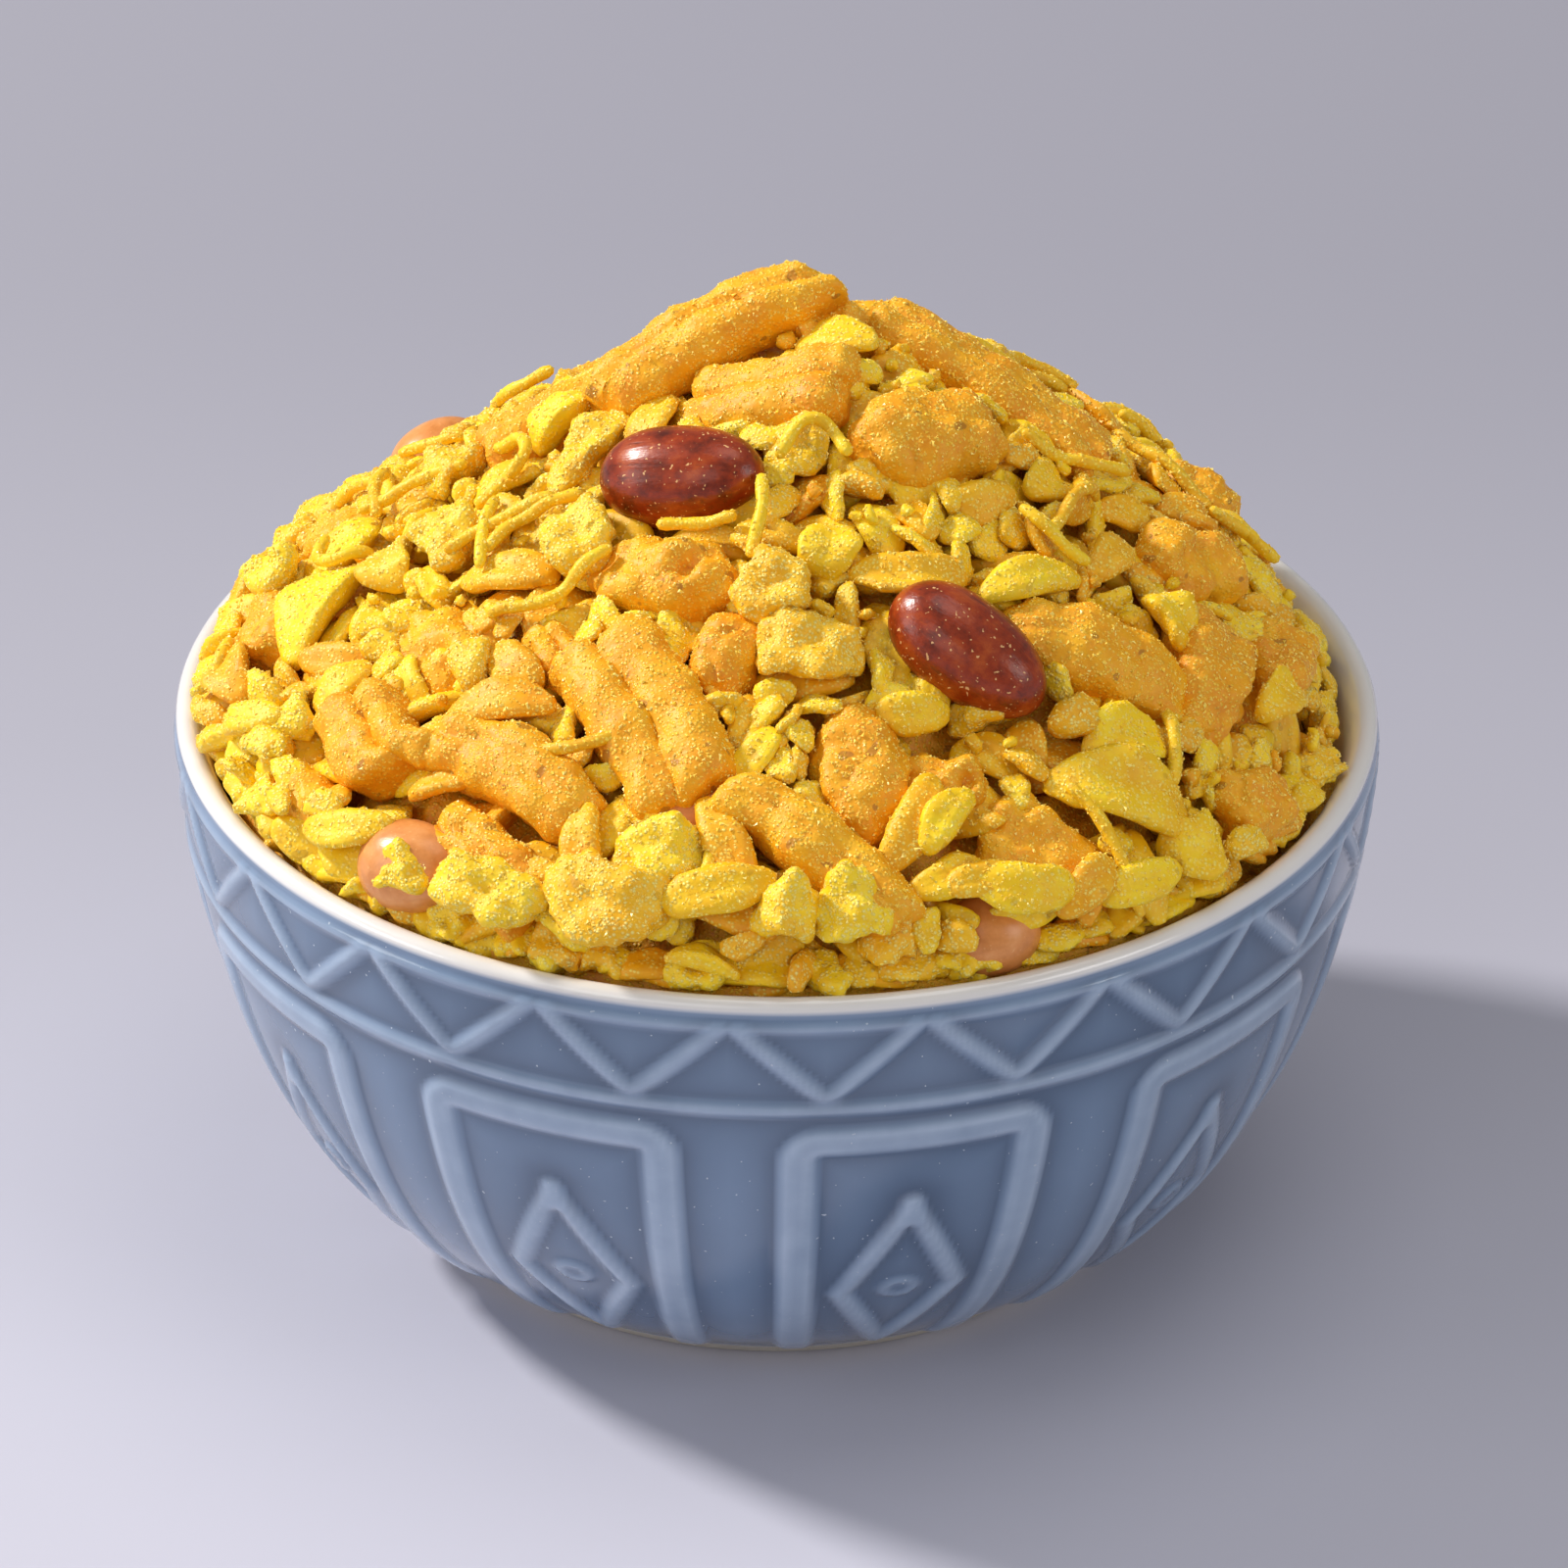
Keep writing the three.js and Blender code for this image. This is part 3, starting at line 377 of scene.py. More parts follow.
def reliefAt(azimuth, z):
    # How raised the wall is, how thin its glaze and how deep the glaze pools, each 0 to 1.
    r = wallRadius(z)
    s = alongWall(z)
    share = 360 / bowl["panels"]
    tooth = share / 2
    fromPeak = np.abs((azimuth - bowl["panelCentre"] + tooth / 2) % tooth - tooth / 2)
    fromMiddle = np.abs((azimuth - bowl["panelCentre"] + tooth) % share - tooth)
    zig, panel, loz, eye = bowl["zigzag"], bowl["panel"], bowl["lozenge"], bowl["eye"]
    lines = []
    # The zigzag is a row of hanging teeth with round tips, which stop short of each other at the top.
    drop = zig["high"] - zig["low"]
    slope = ((0, 0.01), (0.08, 0.04), (0.18, 0.13), (0.55, 0.52), (1, 1))
    path = [(tooth / 2 - 8 * t, zig["low"] + drop * f) for t, f in slope]
    lines.append((lineDistance(r * np.radians(fromPeak), s, path), zig["width"]))
    high, corner = panel["top"], 2.2
    inset = lambda h: panel["half"] - np.degrees(panel["line"] / 2 / wallRadius(h))
    sides = [(inset(h), h) for h in np.linspace(2.4, high - corner, 12)]
    turns = (0.4, 0.8, 1.2)
    inner = inset(high) - corner
    bend = [(inner + corner * math.cos(t), high - corner + corner * math.sin(t)) for t in turns]
    path = sides + bend + [(a, high) for a in np.linspace(inner, 0, 6)]
    u = r * np.radians(fromMiddle)
    lines.append((lineDistance(u, s, path), panel["line"]))
    upper, lower = loz["middle"] - loz["top"], loz["low"] - loz["middle"]
    path = [(loz["half"] * t, loz["top"] + upper * t) for t in np.linspace(0, 1, 6)]
    path += [(loz["half"] * (1 - t), loz["middle"] + lower * t) for t in (0.25, 0.5, 0.75, 1)]
    lines.append((lineDistance(u, s, path), loz["line"]))
    lines.append((lineDistance(u, s, [(0, loz["top"] + 0.6), (0, loz["top"] - 1.6)]), loz["line"]))
    oval = np.hypot(u, (s - alongWall(eye["z"])) * eye["wide"] / eye["high"])
    lines.append((np.abs(oval - eye["wide"]), eye["line"]))
    lines.append((np.abs(s - alongWall(bowl["upperLine"])), 0.9))
    lines.append((np.abs(s - alongWall(bowl["lowerLine"])), 1.3))
    raised, thin, clear = np.zeros(u.shape), np.zeros(u.shape), np.ones(u.shape)
    for distance, width in lines:
        past = distance - width / 2
        raised = np.maximum(raised, 1 - smoothstep(past, -0.75, 0.6))
        # The glaze is thinnest along a line's edges and a little thicker on the top of a broad one.
        edge = 0.72 + 0.28 * np.exp(-((past + 0.35) / 0.6) ** 2)
        thin = np.maximum(thin, edge * (1 - smoothstep(past, -0.6, 0.6)) * min(1.0, 0.5 + 0.3 * width))
        moat = smoothstep(past, 0.1, 0.7) * np.exp(-np.clip(past - 0.6, 0, 9) / 1.9)
        clear = clear * (1 - 0.85 * min(1.0, width / 1.3) * moat)
    # The eye is a low dome inside its ring.
    raised = np.maximum(raised, 0.5 * (1 - smoothstep(oval, 0.4, 1.6)))
    return raised, thin, 1 - clear


def innerRadius(z):
    # Radius of the bowl's inside by height, near its lip.
    heights = np.array([20.0, 30.0, 40.0, 46.0, 49.0, 50.6, 52.1, 53.0])
    radii = np.array([47.0, 50.3, 52.3, 52.9, 53.3, 53.7, 54.3, 55.0])
    return np.interp(z, heights, radii)


def makeBowl():
    count = bowl["around"]
    azimuth = np.arange(count) * 360.0 / count
    s = np.linspace(0, alongWall(51.8), bowl["up"])
    z = np.interp(s, wallS, wallZ)
    aa, zz = np.meshgrid(azimuth, z)
    raised, thin, pool = reliefAt(aa, zz)
    fade = smoothstep(zz, 2.6, 4.6) * (1 - 0.6 * smoothstep(zz, 50.6, 51.8))
    out, up = wallLean(zz)
    lift = (bowl["lineHeight"] * raised - 0.14 * pool * (1 - raised)) * fade
    r = wallRadius(zz) + out * lift
    h = zz + up * lift
    tones = {"thin": thin * fade, "pool": pool * fade, "glazed": np.ones(zz.shape)}
    # Under the wall come the foot's rings, over it the lip, the inside wall and the floor.
    foot = [
        (0.2, 2.2), (26.0, 2.2), (28.8, 1.9), (29.5, 0.25), (30.0, 0.0), (33.0, 0.0), (33.5, 0.3),
        (34.1, 1.3), (35.2, 1.9)]
    lip = [
        (57.12, 52.4), (56.9, 52.8), (56.5, 53.1), (56.05, 53.2), (55.6, 53.1), (55.15, 52.8),
        (54.7, 52.3), (54.3, 51.6), (54.0, 50.8)]
    inside = [
        (53.8, 50.0), (53.2, 47.0), (52.5, 43), (51.2, 36), (48.6, 26.5), (44.2, 17), (38.5, 10.5),
        (33, 7.8), (28, 7.0), (18, 6.7), (0.2, 6.6)]
    rows = [(np.full(count, a), np.full(count, b)) for a, b in foot]
    rows += list(zip(r, h))
    rows += [(np.full(count, a), np.full(count, b)) for a, b in lip + inside]
    radius = np.concatenate([a for a, _ in rows])
    height = np.concatenate([b for _, b in rows])
    angle = np.radians(np.tile(azimuth, len(rows)))
    verts = np.stack([radius * np.sin(angle), -radius * np.cos(angle), height], 1)
    obj = meshObject("bowlBody", verts, gridFaces(len(rows), count))
    last = (len(rows) - 1) * count
    closeEnds(obj, reversed(range(count)), range(last, last + count))
    below, above = len(foot) * count, (len(lip) + len(inside)) * count
    for name, values in tones.items():
        paint(obj.data, name, np.concatenate([np.zeros(below), values.ravel(), np.zeros(above)]))
    obj.data.shade_smooth()
    return obj


# The heap's form.

def heapTop(x, y):
    share = np.hypot(x, y) / heap["radius"]
    keep = np.clip(1 - share, 0, 1)
    r = np.hypot(x - heap["apex"][0] * keep, y - heap["apex"][1] * keep) / heap["radius"]
    rise = np.clip(1.05 - np.sqrt(r * r + 0.004), 0, 1) ** heap["power"]
    return heap["edge"] + (heap["top"] - heap["edge"]) * rise


def heapNormal(x, y, reach=4.0):
    dx = (heapTop(x + reach, y) - heapTop(x - reach, y)) / (2 * reach)
    dy = (heapTop(x, y + reach) - heapTop(x, y - reach)) / (2 * reach)
    n = np.array([-dx, -dy, 1.0])
    return n / np.linalg.norm(n)


def fillHeight(x, y):
    toRight = smoothstep(np.cos(np.arctan2(x, -y) - math.radians(115)), 0.3, 0.9)
    return heap["fillHigh"] + (heap["fillLow"] - heap["fillHigh"]) * toRight


def coreTop(x, y):
    share = np.hypot(x, y) / heap["radius"]
    waves = 0.9 * np.sin(x * 0.62 + 1.3) * np.sin(y * 0.55 + 0.4) + 0.6 * np.sin(x * 1.3 - y * 1.1)
    dome = heapTop(x, y) - heap["coreDrop"] + waves
    edge = smoothstep(share, 0.84, 0.97)
    return dome * (1 - edge) + fillHeight(x, y) * edge


def makeCore():
    count = 300
    angle = np.arange(count) * 2 * np.pi / count
    shares = np.linspace(0.012, 0.978, 86)
    r = heap["radius"] * shares[:, None] * np.ones(count)
    x, y = r * np.cos(angle), r * np.sin(angle)
    z = coreTop(x, y)
    verts = np.stack([x, y, z], 2).reshape(-1, 3)
    skirt = np.stack([50.6 * np.cos(angle), 50.6 * np.sin(angle), np.full(count, 36.0)], 1)
    verts = np.concatenate([verts, skirt])
    obj = meshObject("mixCore", verts, gridFaces(len(shares) + 1, count))
    last = len(shares) * count
    closeEnds(obj, range(count), reversed(range(last, last + count)))
    return obj


# The pieces' forms, in a box of one by one by one.

def lobe(kind, shape, finer=1.0):
    # A closed form along X: shape(u, t) gives x, y and z at u from -1 to 1 and angle t.
    stops, sides = (int(n * finer) for n in meshes[kind])
    # Rings crowd toward the ends, where the form rounds over, and points to the middle of both faces.
    v = np.linspace(-1, 1, stops + 2)[1:-1]
    u = np.sin(v * np.pi / 2) * 0.6 + v * 0.4
    t = np.arange(sides) * 2 * np.pi / sides
    t = t + 0.22 * np.sin(2 * t)
    uu, tt = np.meshgrid(u, t, indexing="ij")
    x, y, z = shape(uu, tt)
    points = np.stack([x, y, z], 2).reshape(-1, 3)
    ends = []
    for end in (0, -1):
        ring = np.stack([x[end], y[end], z[end]], 1).mean(0)
        ends.append(ring + [0.006 if end else -0.006, 0, 0])
    return np.concatenate([[ends[0]], points, [ends[1]]]), tubeFaces(stops, sides)


def formOf(kind, shapes):
    # The mesh of a variant: one closed form, or two that lie against each other.
    if callable(shapes):
        return lobe(kind, shapes)
    verts, faces = [], []
    for shape in shapes:
        v, f = lobe(kind, shape, 0.8)
        faces += [tuple(i + sum(map(len, verts)) for i in face) for face in f]
        verts.append(v)
    return np.concatenate(verts), faces


def powered(value, power):
    return np.sign(value) * np.abs(value) ** power


def rollShape(low=-1.0, high=1.0, start=-0.5, end=0.5, sag=0.0, bow=0.08, sway=0.1, twist=0.0,
              hook=0.0, taper=0.0, cut=0.0, blunt=12, crease=0.0):
    # A roll of fried dough that takes the share from low to high of the piece's width.
    def shape(u, t):
        full = (1 - np.abs(u) ** blunt) ** (1 / 3) * (1 - taper * np.abs(u) ** 3)
        full = full * (1 + 0.05 * np.sin(4.3 * u + 5 * low) + 0.03 * np.sin(10 * u + 3 * high))
        x = (start + end) / 2 + (end - start) / 2 * u
        y = (low + high) / 4 + (high - low) / 4 * powered(np.cos(t), 0.78) * full
        z = 0.5 * powered(np.sin(t), 0.78) * full - sag
        # A ragged crease along the upper side.
        track = 0.07 * np.sin(4 * u + 2) + 0.03 * np.sin(11 * u)
        z = z - crease * np.exp(-(((y - track) / 0.055) ** 2)) * (np.sin(t) > 0) * (1 + 0.4 * np.sin(7 * u))
        x = x + cut * y + 0.012 * np.sin(3 * t + 7 * high)
        s = 2 * x
        y, z = y * np.cos(twist * s) - z * np.sin(twist * s), y * np.sin(twist * s) + z * np.cos(twist * s)
        y = y + sway * (0.4 - s * s) + hook * smoothstep(s, 0.1, 1.0)
        x = x - 0.25 * abs(hook) * smoothstep(s, 0.35, 1.0)
        z = z + bow * (0.4 - s * s)
        return x, y, z
    return shape


def twinShape(seam=0.0, slip=0.04, sag=0.06, **bend):
    # Two rolls side by side that fried together, the second a little further along.
    return (
        rollShape(-1.0, seam + 0.16, -0.5, 0.5 - slip, **bend),
        rollShape(seam - 0.16, 1.0, -0.5 + slip, 0.5, sag, **bend),
    )


def nuggetShape(phase, lumps=0.12, waist=0.0, corner=1.0, crater=0.0, fold=0.0):
    def shape(u, t):
        full = (1 - np.abs(u) ** (2.2 + 4 * (1 - corner))) ** 0.5
        full = full * (1 - waist * np.exp(-((u / 0.22) ** 2))) * (1 + 0.1 * np.sin(phase) * u)
        wave = 1 + lumps * np.sin(2 * t + phase) * np.cos(2.2 * u + phase)
        wave = wave + 0.5 * lumps * np.sin(3 * t - 2 * phase + 3 * u)
        bent = np.sin((t - 1.1 - 0.9 * np.sin(phase + 1.9 * u)) / 2) / 0.17
        wave = wave * (1 - fold * np.exp(-bent * bent) * (1 - u ** 4))
        y = 0.5 * powered(np.cos(t), corner) * full * wave
        z = 0.5 * powered(np.sin(t), corner) * full * wave
        z = z - crater * np.exp(-(((u - 0.35) / 0.2) ** 2 + (y / 0.13) ** 2)) * (np.sin(t) > 0)
        return 0.5 * u, y, z
    return shape


def flakeShape(phase, point=2.2, cup=0.3, ragged=0.06, groove=0.08, arch=0.15, lean=0.12, edge=0.85):
    def shape(u, t):
        full = (1 - np.abs(u) ** point) ** 0.55 * (1 + lean * u * np.cos(phase))
        calm = 1 - u ** 4
        wave = 1 + ragged * calm * (np.sin(3.2 * u + t + phase) + 0.8 * np.sin(5 * u - 2 * t + 2 * phase))
        y = 0.5 * np.cos(t) * full * wave
        z = 0.5 * powered(np.sin(t), edge) * full ** 0.8 * wave
        track = (y - 0.08 * np.sin(phase)) / 0.12
        z = z - groove * np.exp(-(track ** 2)) * (1 - u * u) * np.sign(np.sin(t))
        z = z + cup * (y * y * 4 - 0.3) + arch * (0.4 - u * u)
        y = y + 0.16 * np.sin(phase) * (0.4 - u * u)
        return 0.5 * u, y, z
    return shape


variants = {
    "strip": [
        rollShape(bow=0.12, sway=0.12, cut=0.08, crease=0.07),
        twinShape(0.05, bow=0.06, sway=-0.06, blunt=14),
        twinShape(-0.08, 0.05, bow=0.12, sway=0.1, twist=0.1, cut=-0.06, blunt=16),
        rollShape(bow=0.1, sway=0.08, twist=0.35, cut=-0.15, blunt=16, crease=0.15),
        twinShape(0.15, 0.1, 0.1, hook=0.36, bow=0.05, sway=0.08, blunt=9),
        rollShape(taper=0.3, bow=0.14, sway=0.1, blunt=7, crease=0.04),
        twinShape(0.25, 0.12, 0.12, bow=0.16, sway=-0.12, twist=-0.2, cut=0.1),
    ],
    "nugget": [
        nuggetShape(0.4, 0.09, corner=0.92), nuggetShape(1.9, 0.15, crater=0.2, fold=0.22, corner=0.85),
        nuggetShape(3.1, 0.1, waist=0.34, fold=0.25), nuggetShape(4.4, 0.12, corner=0.7, fold=0.15),
        nuggetShape(5.2, 0.09, corner=0.85, crater=0.12, fold=0.2),
    ],
    "rough": [flakeShape(p, 2.8, 0.3, 0.1, 0.08, 0.2, 0.15, 1.0) for p in (0.3, 1.7, 3.0, 4.6, 5.6)],
    "leaf": [flakeShape(p, 2.6, 0.45, 0.06, 0.1, 0.32, 0.14, 1.3) for p in (0.9, 2.2, 3.7, 5.1, 0.2)],
    "slip": [flakeShape(p, 2.2, 0.25, 0.04, 0.14, 0.3, 0.12, 1.05) for p in (0.2, 1.5, 3.3, 4.9, 5.9)],
    "grain": [flakeShape(p, 2.3, 0.2, 0.08, 0.1, 0.2, 0.15) for p in (0.6, 2.6, 4.2)],
    "crumb": [flakeShape(p, 3.0, 0.0, 0.12, 0.0, 0.0) for p in (0.5, 2.4, 4.0)],
}


# Settling the pieces on each other: the ground is the height of what lies there already.

cell = 0.5
half = 58.0
axis = np.arange(-half, half + cell / 2, cell)
gridX, gridY = np.meshgrid(axis, axis, indexing="ij")
gridR = np.hypot(gridX, gridY)
ground = np.where(gridR < 53.6, coreTop(gridX, gridY), np.where(gridR < 57.2, 53.5, 20.0))
bigHere = np.zeros(ground.shape, bool)
placed = {kind: [] for kind in list(variants) + ["nut"]}
ballPoints = np.array([
    (math.cos(a) * math.sin(b), math.sin(a) * math.sin(b), math.cos(b))
    for b in (0.5, 1.1, 1.6, 2.1, 2.7) for a in np.arange(0, 6.28, 0.6)
])


def turnTo(heading, up, pitch=0.0, roll=0.0):
    ahead = np.array([math.cos(math.radians(heading)), math.sin(math.radians(heading)), 0.0])
    ahead -= up * ahead.dot(up)
    ahead /= np.linalg.norm(ahead)
    base = np.stack([ahead, np.cross(up, ahead), up], 1)
    tilt = Matrix.Rotation(-math.radians(pitch), 3, "Y") @ Matrix.Rotation(math.radians(roll), 3, "X")
    return base @ np.array(tilt)


def sizeOf(kind, share=1.0):
    return [share * rng.uniform(*fill[kind][k]) for k in ("long", "wide", "thick")]


def cellOf(values, margin=0):
    return np.clip(np.searchsorted(axis, values), margin, len(axis) - 1 - margin)


def windowAt(x, y, reach):
    i0, i1 = np.searchsorted(axis, [x - reach, x + reach])
    j0, j1 = np.searchsorted(axis, [y - reach, y + reach])
    return slice(i0, i1), slice(j0, j1)


def crossing(turn, size, x, y):
    # Where the upright lines of the grid enter and leave a rounded piece, from its centre.
    window = windowAt(x, y, size[0] / 2 + 0.6)
    dx, dy = gridX[window] - x, gridY[window] - y
    form = turn @ np.diag(1 / (np.array(size) * 0.52) ** 2) @ turn.T
    a = form[2, 2]
    b = form[0, 2] * dx + form[1, 2] * dy
    c = form[0, 0] * dx * dx + 2 * form[0, 1] * dx * dy + form[1, 1] * dy * dy - 1
    inside = b * b - a * c
    hit = inside > 0
    root = np.sqrt(np.where(hit, inside, 0))
    return window, hit, (-b - root) / a, (-b + root) / a


def restingHeight(turn, size, x, y, share):
    window, hit, low, _ = crossing(turn, size, x, y)
    if not hit.any():
        return None
    return float(np.quantile((ground[window] - low)[hit], share))


def localUp(x, y, reach=3.5):
    window = windowAt(x, y, reach)
    z = ground[window]
    dx, dy = gridX[window] - x, gridY[window] - y
    near = (gridR[window] < 53.5) & (dx * dx + dy * dy < reach * reach)
    if near.sum() < 12:
        return heapNormal(x, y)
    a = np.stack([dx[near], dy[near], np.ones(near.sum())], 1)
    gx, gy, _ = np.linalg.lstsq(a, z[near], rcond=None)[0]
    slope = math.hypot(gx, gy)
    if slope > 1.1:
        gx, gy = gx * 1.1 / slope, gy * 1.1 / slope
    n = np.array([-gx, -gy, 1.0])
    return n / np.linalg.norm(n)


def scatteredTurn(x, y, tilt):
    # A random heading on what lies below, leaning by about tilt.
    up = localUp(x, y) + rng.normal(0, tilt, 3)
    up[2] = abs(up[2])
    return turnTo(rng.uniform(0, 360), up / np.linalg.norm(up))


def intoBowl(turn, size, x, y, z):
    # How far a piece stands through the bowl's inside or past its lip.
    points = (ballPoints * np.array(size) * 0.5) @ turn.T + [x, y, z]
    r = np.hypot(points[:, 0], points[:, 1])
    limit = np.where(points[:, 2] < 53.5, innerRadius(points[:, 2]) - 0.25, 56.0)
    return float(np.max(r - limit))


def keepInside(turn, size, x, y, z, follow):
    for _ in range(12):
        over = intoBowl(turn, size, x, y, z)
        if over <= 0:
            return x, y, z
        r = math.hypot(x, y)
        x, y = x * (1 - (over + 0.05) / r), y * (1 - (over + 0.05) / r)
        if follow:
            z = restingHeight(turn, size, x, y, 0.85)
    return None


def put(kind, turn, size, x, y, z, big=False, variant=None):
    if variant is None:
        variant = int(rng.integers(len(variants[kind])))
    tint = float(rng.random())
    window, hit, _, high = crossing(turn, size, x, y)
    if kind != "crumb":
        ground[window] = np.where(hit, np.maximum(ground[window], z + high), ground[window])
    if big:
        bigHere[window] |= hit
    angles = Matrix(turn.tolist()).to_euler("XYZ")
    placed[kind].append((x, y, z, *angles, *size, variant, tint))


def seatShown(row, big):
    kind, variant, x, y, heading, size, (rise, pitch, roll) = row
    up = heapNormal(x, y)
    turn = turnTo(heading, up, pitch, roll)
    x2, y2, z2 = np.array([x, y, heapTop(x, y)]) + up * rise
    if not big:
        rest = restingHeight(turn, size, x2, y2, 0.8)
        z2 = min(max(z2, rest - 0.4), z2 + 2.5)
    spot = keepInside(turn, size, x2, y2, z2, False)
    if spot is not None:
        put(kind, turn, size, *spot, big, variant)


def sites(count, reach, turnBy):
    i = np.arange(count)
    r = reach * np.sqrt((i + 0.5) / count)
    t = i * 2.39996 + turnBy
    jitter = rng.normal(0, reach / math.sqrt(count) * 0.35, (count, 2))
    return np.stack([r * np.cos(t), r * np.sin(t)], 1) + jitter


def placeCrumbs():
    # Crumbs all over, also on the big pieces.
    crumb = fill["crumb"]
    for x, y in sites(crumb["count"], crumb["reach"], rng.random() * 6.28):
        size = sizeOf("crumb")
        turn = scatteredTurn(x, y, crumb["tilt"])
        window, hit, _, high = crossing(turn, size, x, y)
        if not hit.any() or (bigHere[window] & hit).sum() > crumb["onBig"] * hit.sum():
            continue
        z = restingHeight(turn, size, x, y, crumb["share"])
        spot = keepInside(turn, size, x, y, z, True)
        if spot is None:
            continue
        x, y, z = spot
        above = z + float(np.max(np.where(hit, high, -9))) - float(heapTop(x, y))
        if above > crumb["over"] or above < -crumb["under"]:
            continue
        put("crumb", turn, size, x, y, z)


def placeBehind():
    # The heap's back has big pieces like those in front, further apart.
    for x, y in sites(90, 49, 1.0):
        kind = ("strip", "nugget")[int(rng.integers(2))]
        size = sizeOf(kind)
        heading = rng.uniform(0, 360)
        turn = turnTo(heading, heapNormal(x, y))
        window, hit, _, _ = crossing(turn, [1.25 * n for n in size], x, y)
        if y < 7 + 0.1 * abs(x) or (bigHere[window] & hit).any():
            continue
        row = (kind, int(rng.integers(len(variants[kind]))), x, y, heading, size)
        seatShown((*row, (rng.uniform(-2.2, -1.2), rng.normal(0, 6), rng.normal(0, 8))), True)


def placeAlongRim(rim):
    # Small flakes that lean on the lip over a stretch of it.
    for k in range(rim["count"]):
        along = (rim["to"] - rim["from"]) * (k + rng.uniform(0, 0.8)) / rim["count"]
        azimuth = math.radians(rim["from"] + along)
        kind = ("slip", "rough", "grain", "slip")[int(rng.integers(4))]
        size = sizeOf(kind, 0.85)
        r, z = rng.uniform(*rim["radius"]), rng.uniform(*rim["z"])
        x, y = r * math.sin(azimuth), -r * math.cos(azimuth)
        up = 0.6 * heapNormal(x, y) + [0, 0, 0.5] + rng.normal(0, 0.16, 3)
        turn = turnTo(math.degrees(azimuth) + rng.normal(0, 24), up / np.linalg.norm(up))
        spot = keepInside(turn, size, x, y, z, False)
        if spot is not None:
            put(kind, turn, size, *spot)


def placePieces():
    fillHollows(*fill["under"])
    for row in bigPieces.values():
        seatShown(row, True)
    for x, y, heading, size, rise in paleNuts.values():
        up = heapNormal(x, y)
        turn = turnTo(heading, up, 6, 0)
        spot = keepInside(turn, size, *(np.array([x, y, heapTop(x, y)]) + up * rise), False)
        put("nut", turn, size, *spot, True, 0)
    for _, x, y, heading, rise, pitch in redNuts.values():
        up = heapNormal(x, y)
        size = [redNut[k] for k in ("long", "wide", "thick")]
        window, hit, _, high = crossing(turnTo(heading, up, pitch), size, x, y)
        z = heapTop(x, y) + rise
        ground[window] = np.where(hit, np.maximum(ground[window], z + high), ground[window])
        bigHere[window] |= hit
    placeBehind()
    placeAlongRim(fill["rim"])
    for row in shownFlakes.values():
        seatShown(row, False)
    fillHollows(*fill["over"])
    fillHollows(*fill["gaps"], small=True)
    placeCrumbs()
    placeAlongRim(fill["backRim"])
    print("pieces", {k: len(v) for k, v in placed.items()})


def fillTop(x, y):
    # The height the small pieces are filled to: lower by the rim at the right, where the inside shows.
    azimuth = np.arctan2(x, -y)
    toRight = smoothstep(np.cos(azimuth - math.radians(100)), 0.3, 0.9)
    inFront = smoothstep(np.cos(azimuth + math.radians(20)), 0.1, 0.7)
    r = np.hypot(x, y)
    drop = heap["rightDrop"] * toRight * smoothstep(r, 46, 53)
    return heapTop(x, y) - drop + heap["frontRise"] * inFront * smoothstep(r, 47, 53)


def fillHollows(below, tries, onBig, small=False):
    # Small pieces dropped where the heap is deepest under its top, until it is even.
    target = fillTop(gridX, gridY) - below
    reach = 53.0 + 1.5 * smoothstep(np.cos(np.arctan2(gridX, -gridY) + math.radians(20)), 0.1, 0.7)
    free = (gridR < reach) & ~bigHere
    tired = np.zeros(ground.shape)
    kinds, odds = zip(*fill["mixture"].items())
    for _ in range(tries):
        deficit = np.where(free, target - ground, 0)
        weight = (np.clip(deficit - fill["hollow"], 0, 6) ** 2 * 0.5 ** tired).ravel()
        total = weight.sum()
        if total < fill["even"]:
            break
        spot = int(np.searchsorted(np.cumsum(weight), rng.random() * total))
        i, j = divmod(min(spot, ground.size - 1), ground.shape[1])
        x, y = axis[i] + rng.uniform(-0.3, 0.3), axis[j] + rng.uniform(-0.3, 0.3)
        kind = kinds[int(rng.choice(len(kinds), p=odds))]
        if small and kind != "slip":
            kind = "grain"
        size = sizeOf(kind, 0.85 if small else 1.0)
        turn = scatteredTurn(x, y, fill["tilt"][kind])
        window, hit, _, _ = crossing(turn, size, x, y)
        tired[windowAt(x, y, 1.4)] += 0.5
        if not hit.any() or (bigHere[window] & hit).sum() > onBig * hit.sum():
            continue
        z = restingHeight(turn, size, x, y, 0.6 if small else 0.9)
        inside = keepInside(turn, size, x, y, z, True)
        if inside is None:
            continue
        x, y, z = inside
        window, hit, _, high = crossing(turn, size, x, y)
        over = np.where(hit, z + high - target[window], -9).max()
        if over > fill["tooProud"]:
            continue
        # A little too high here, it is sunk among the others.
        z -= max(over - fill["proud"], 0)
        put(kind, turn, size, x, y, z)


# Geometry Nodes put a variant at each point, then roughen the whole.

def node(tree, kind, inputs=None, **settings):
    made = tree.nodes.new(kind)
    for key, value in settings.items():
        setattr(made, key, value)
    for key, value in (inputs or {}).items():
        if isinstance(value, bpy.types.NodeSocket):
            tree.links.new(value, made.inputs[key])
        else:
            made.inputs[key].default_value = value
    return made


def reckon(tree, operation, *values):
    return node(tree, "ShaderNodeMath", dict(enumerate(values)), operation=operation).outputs[0]


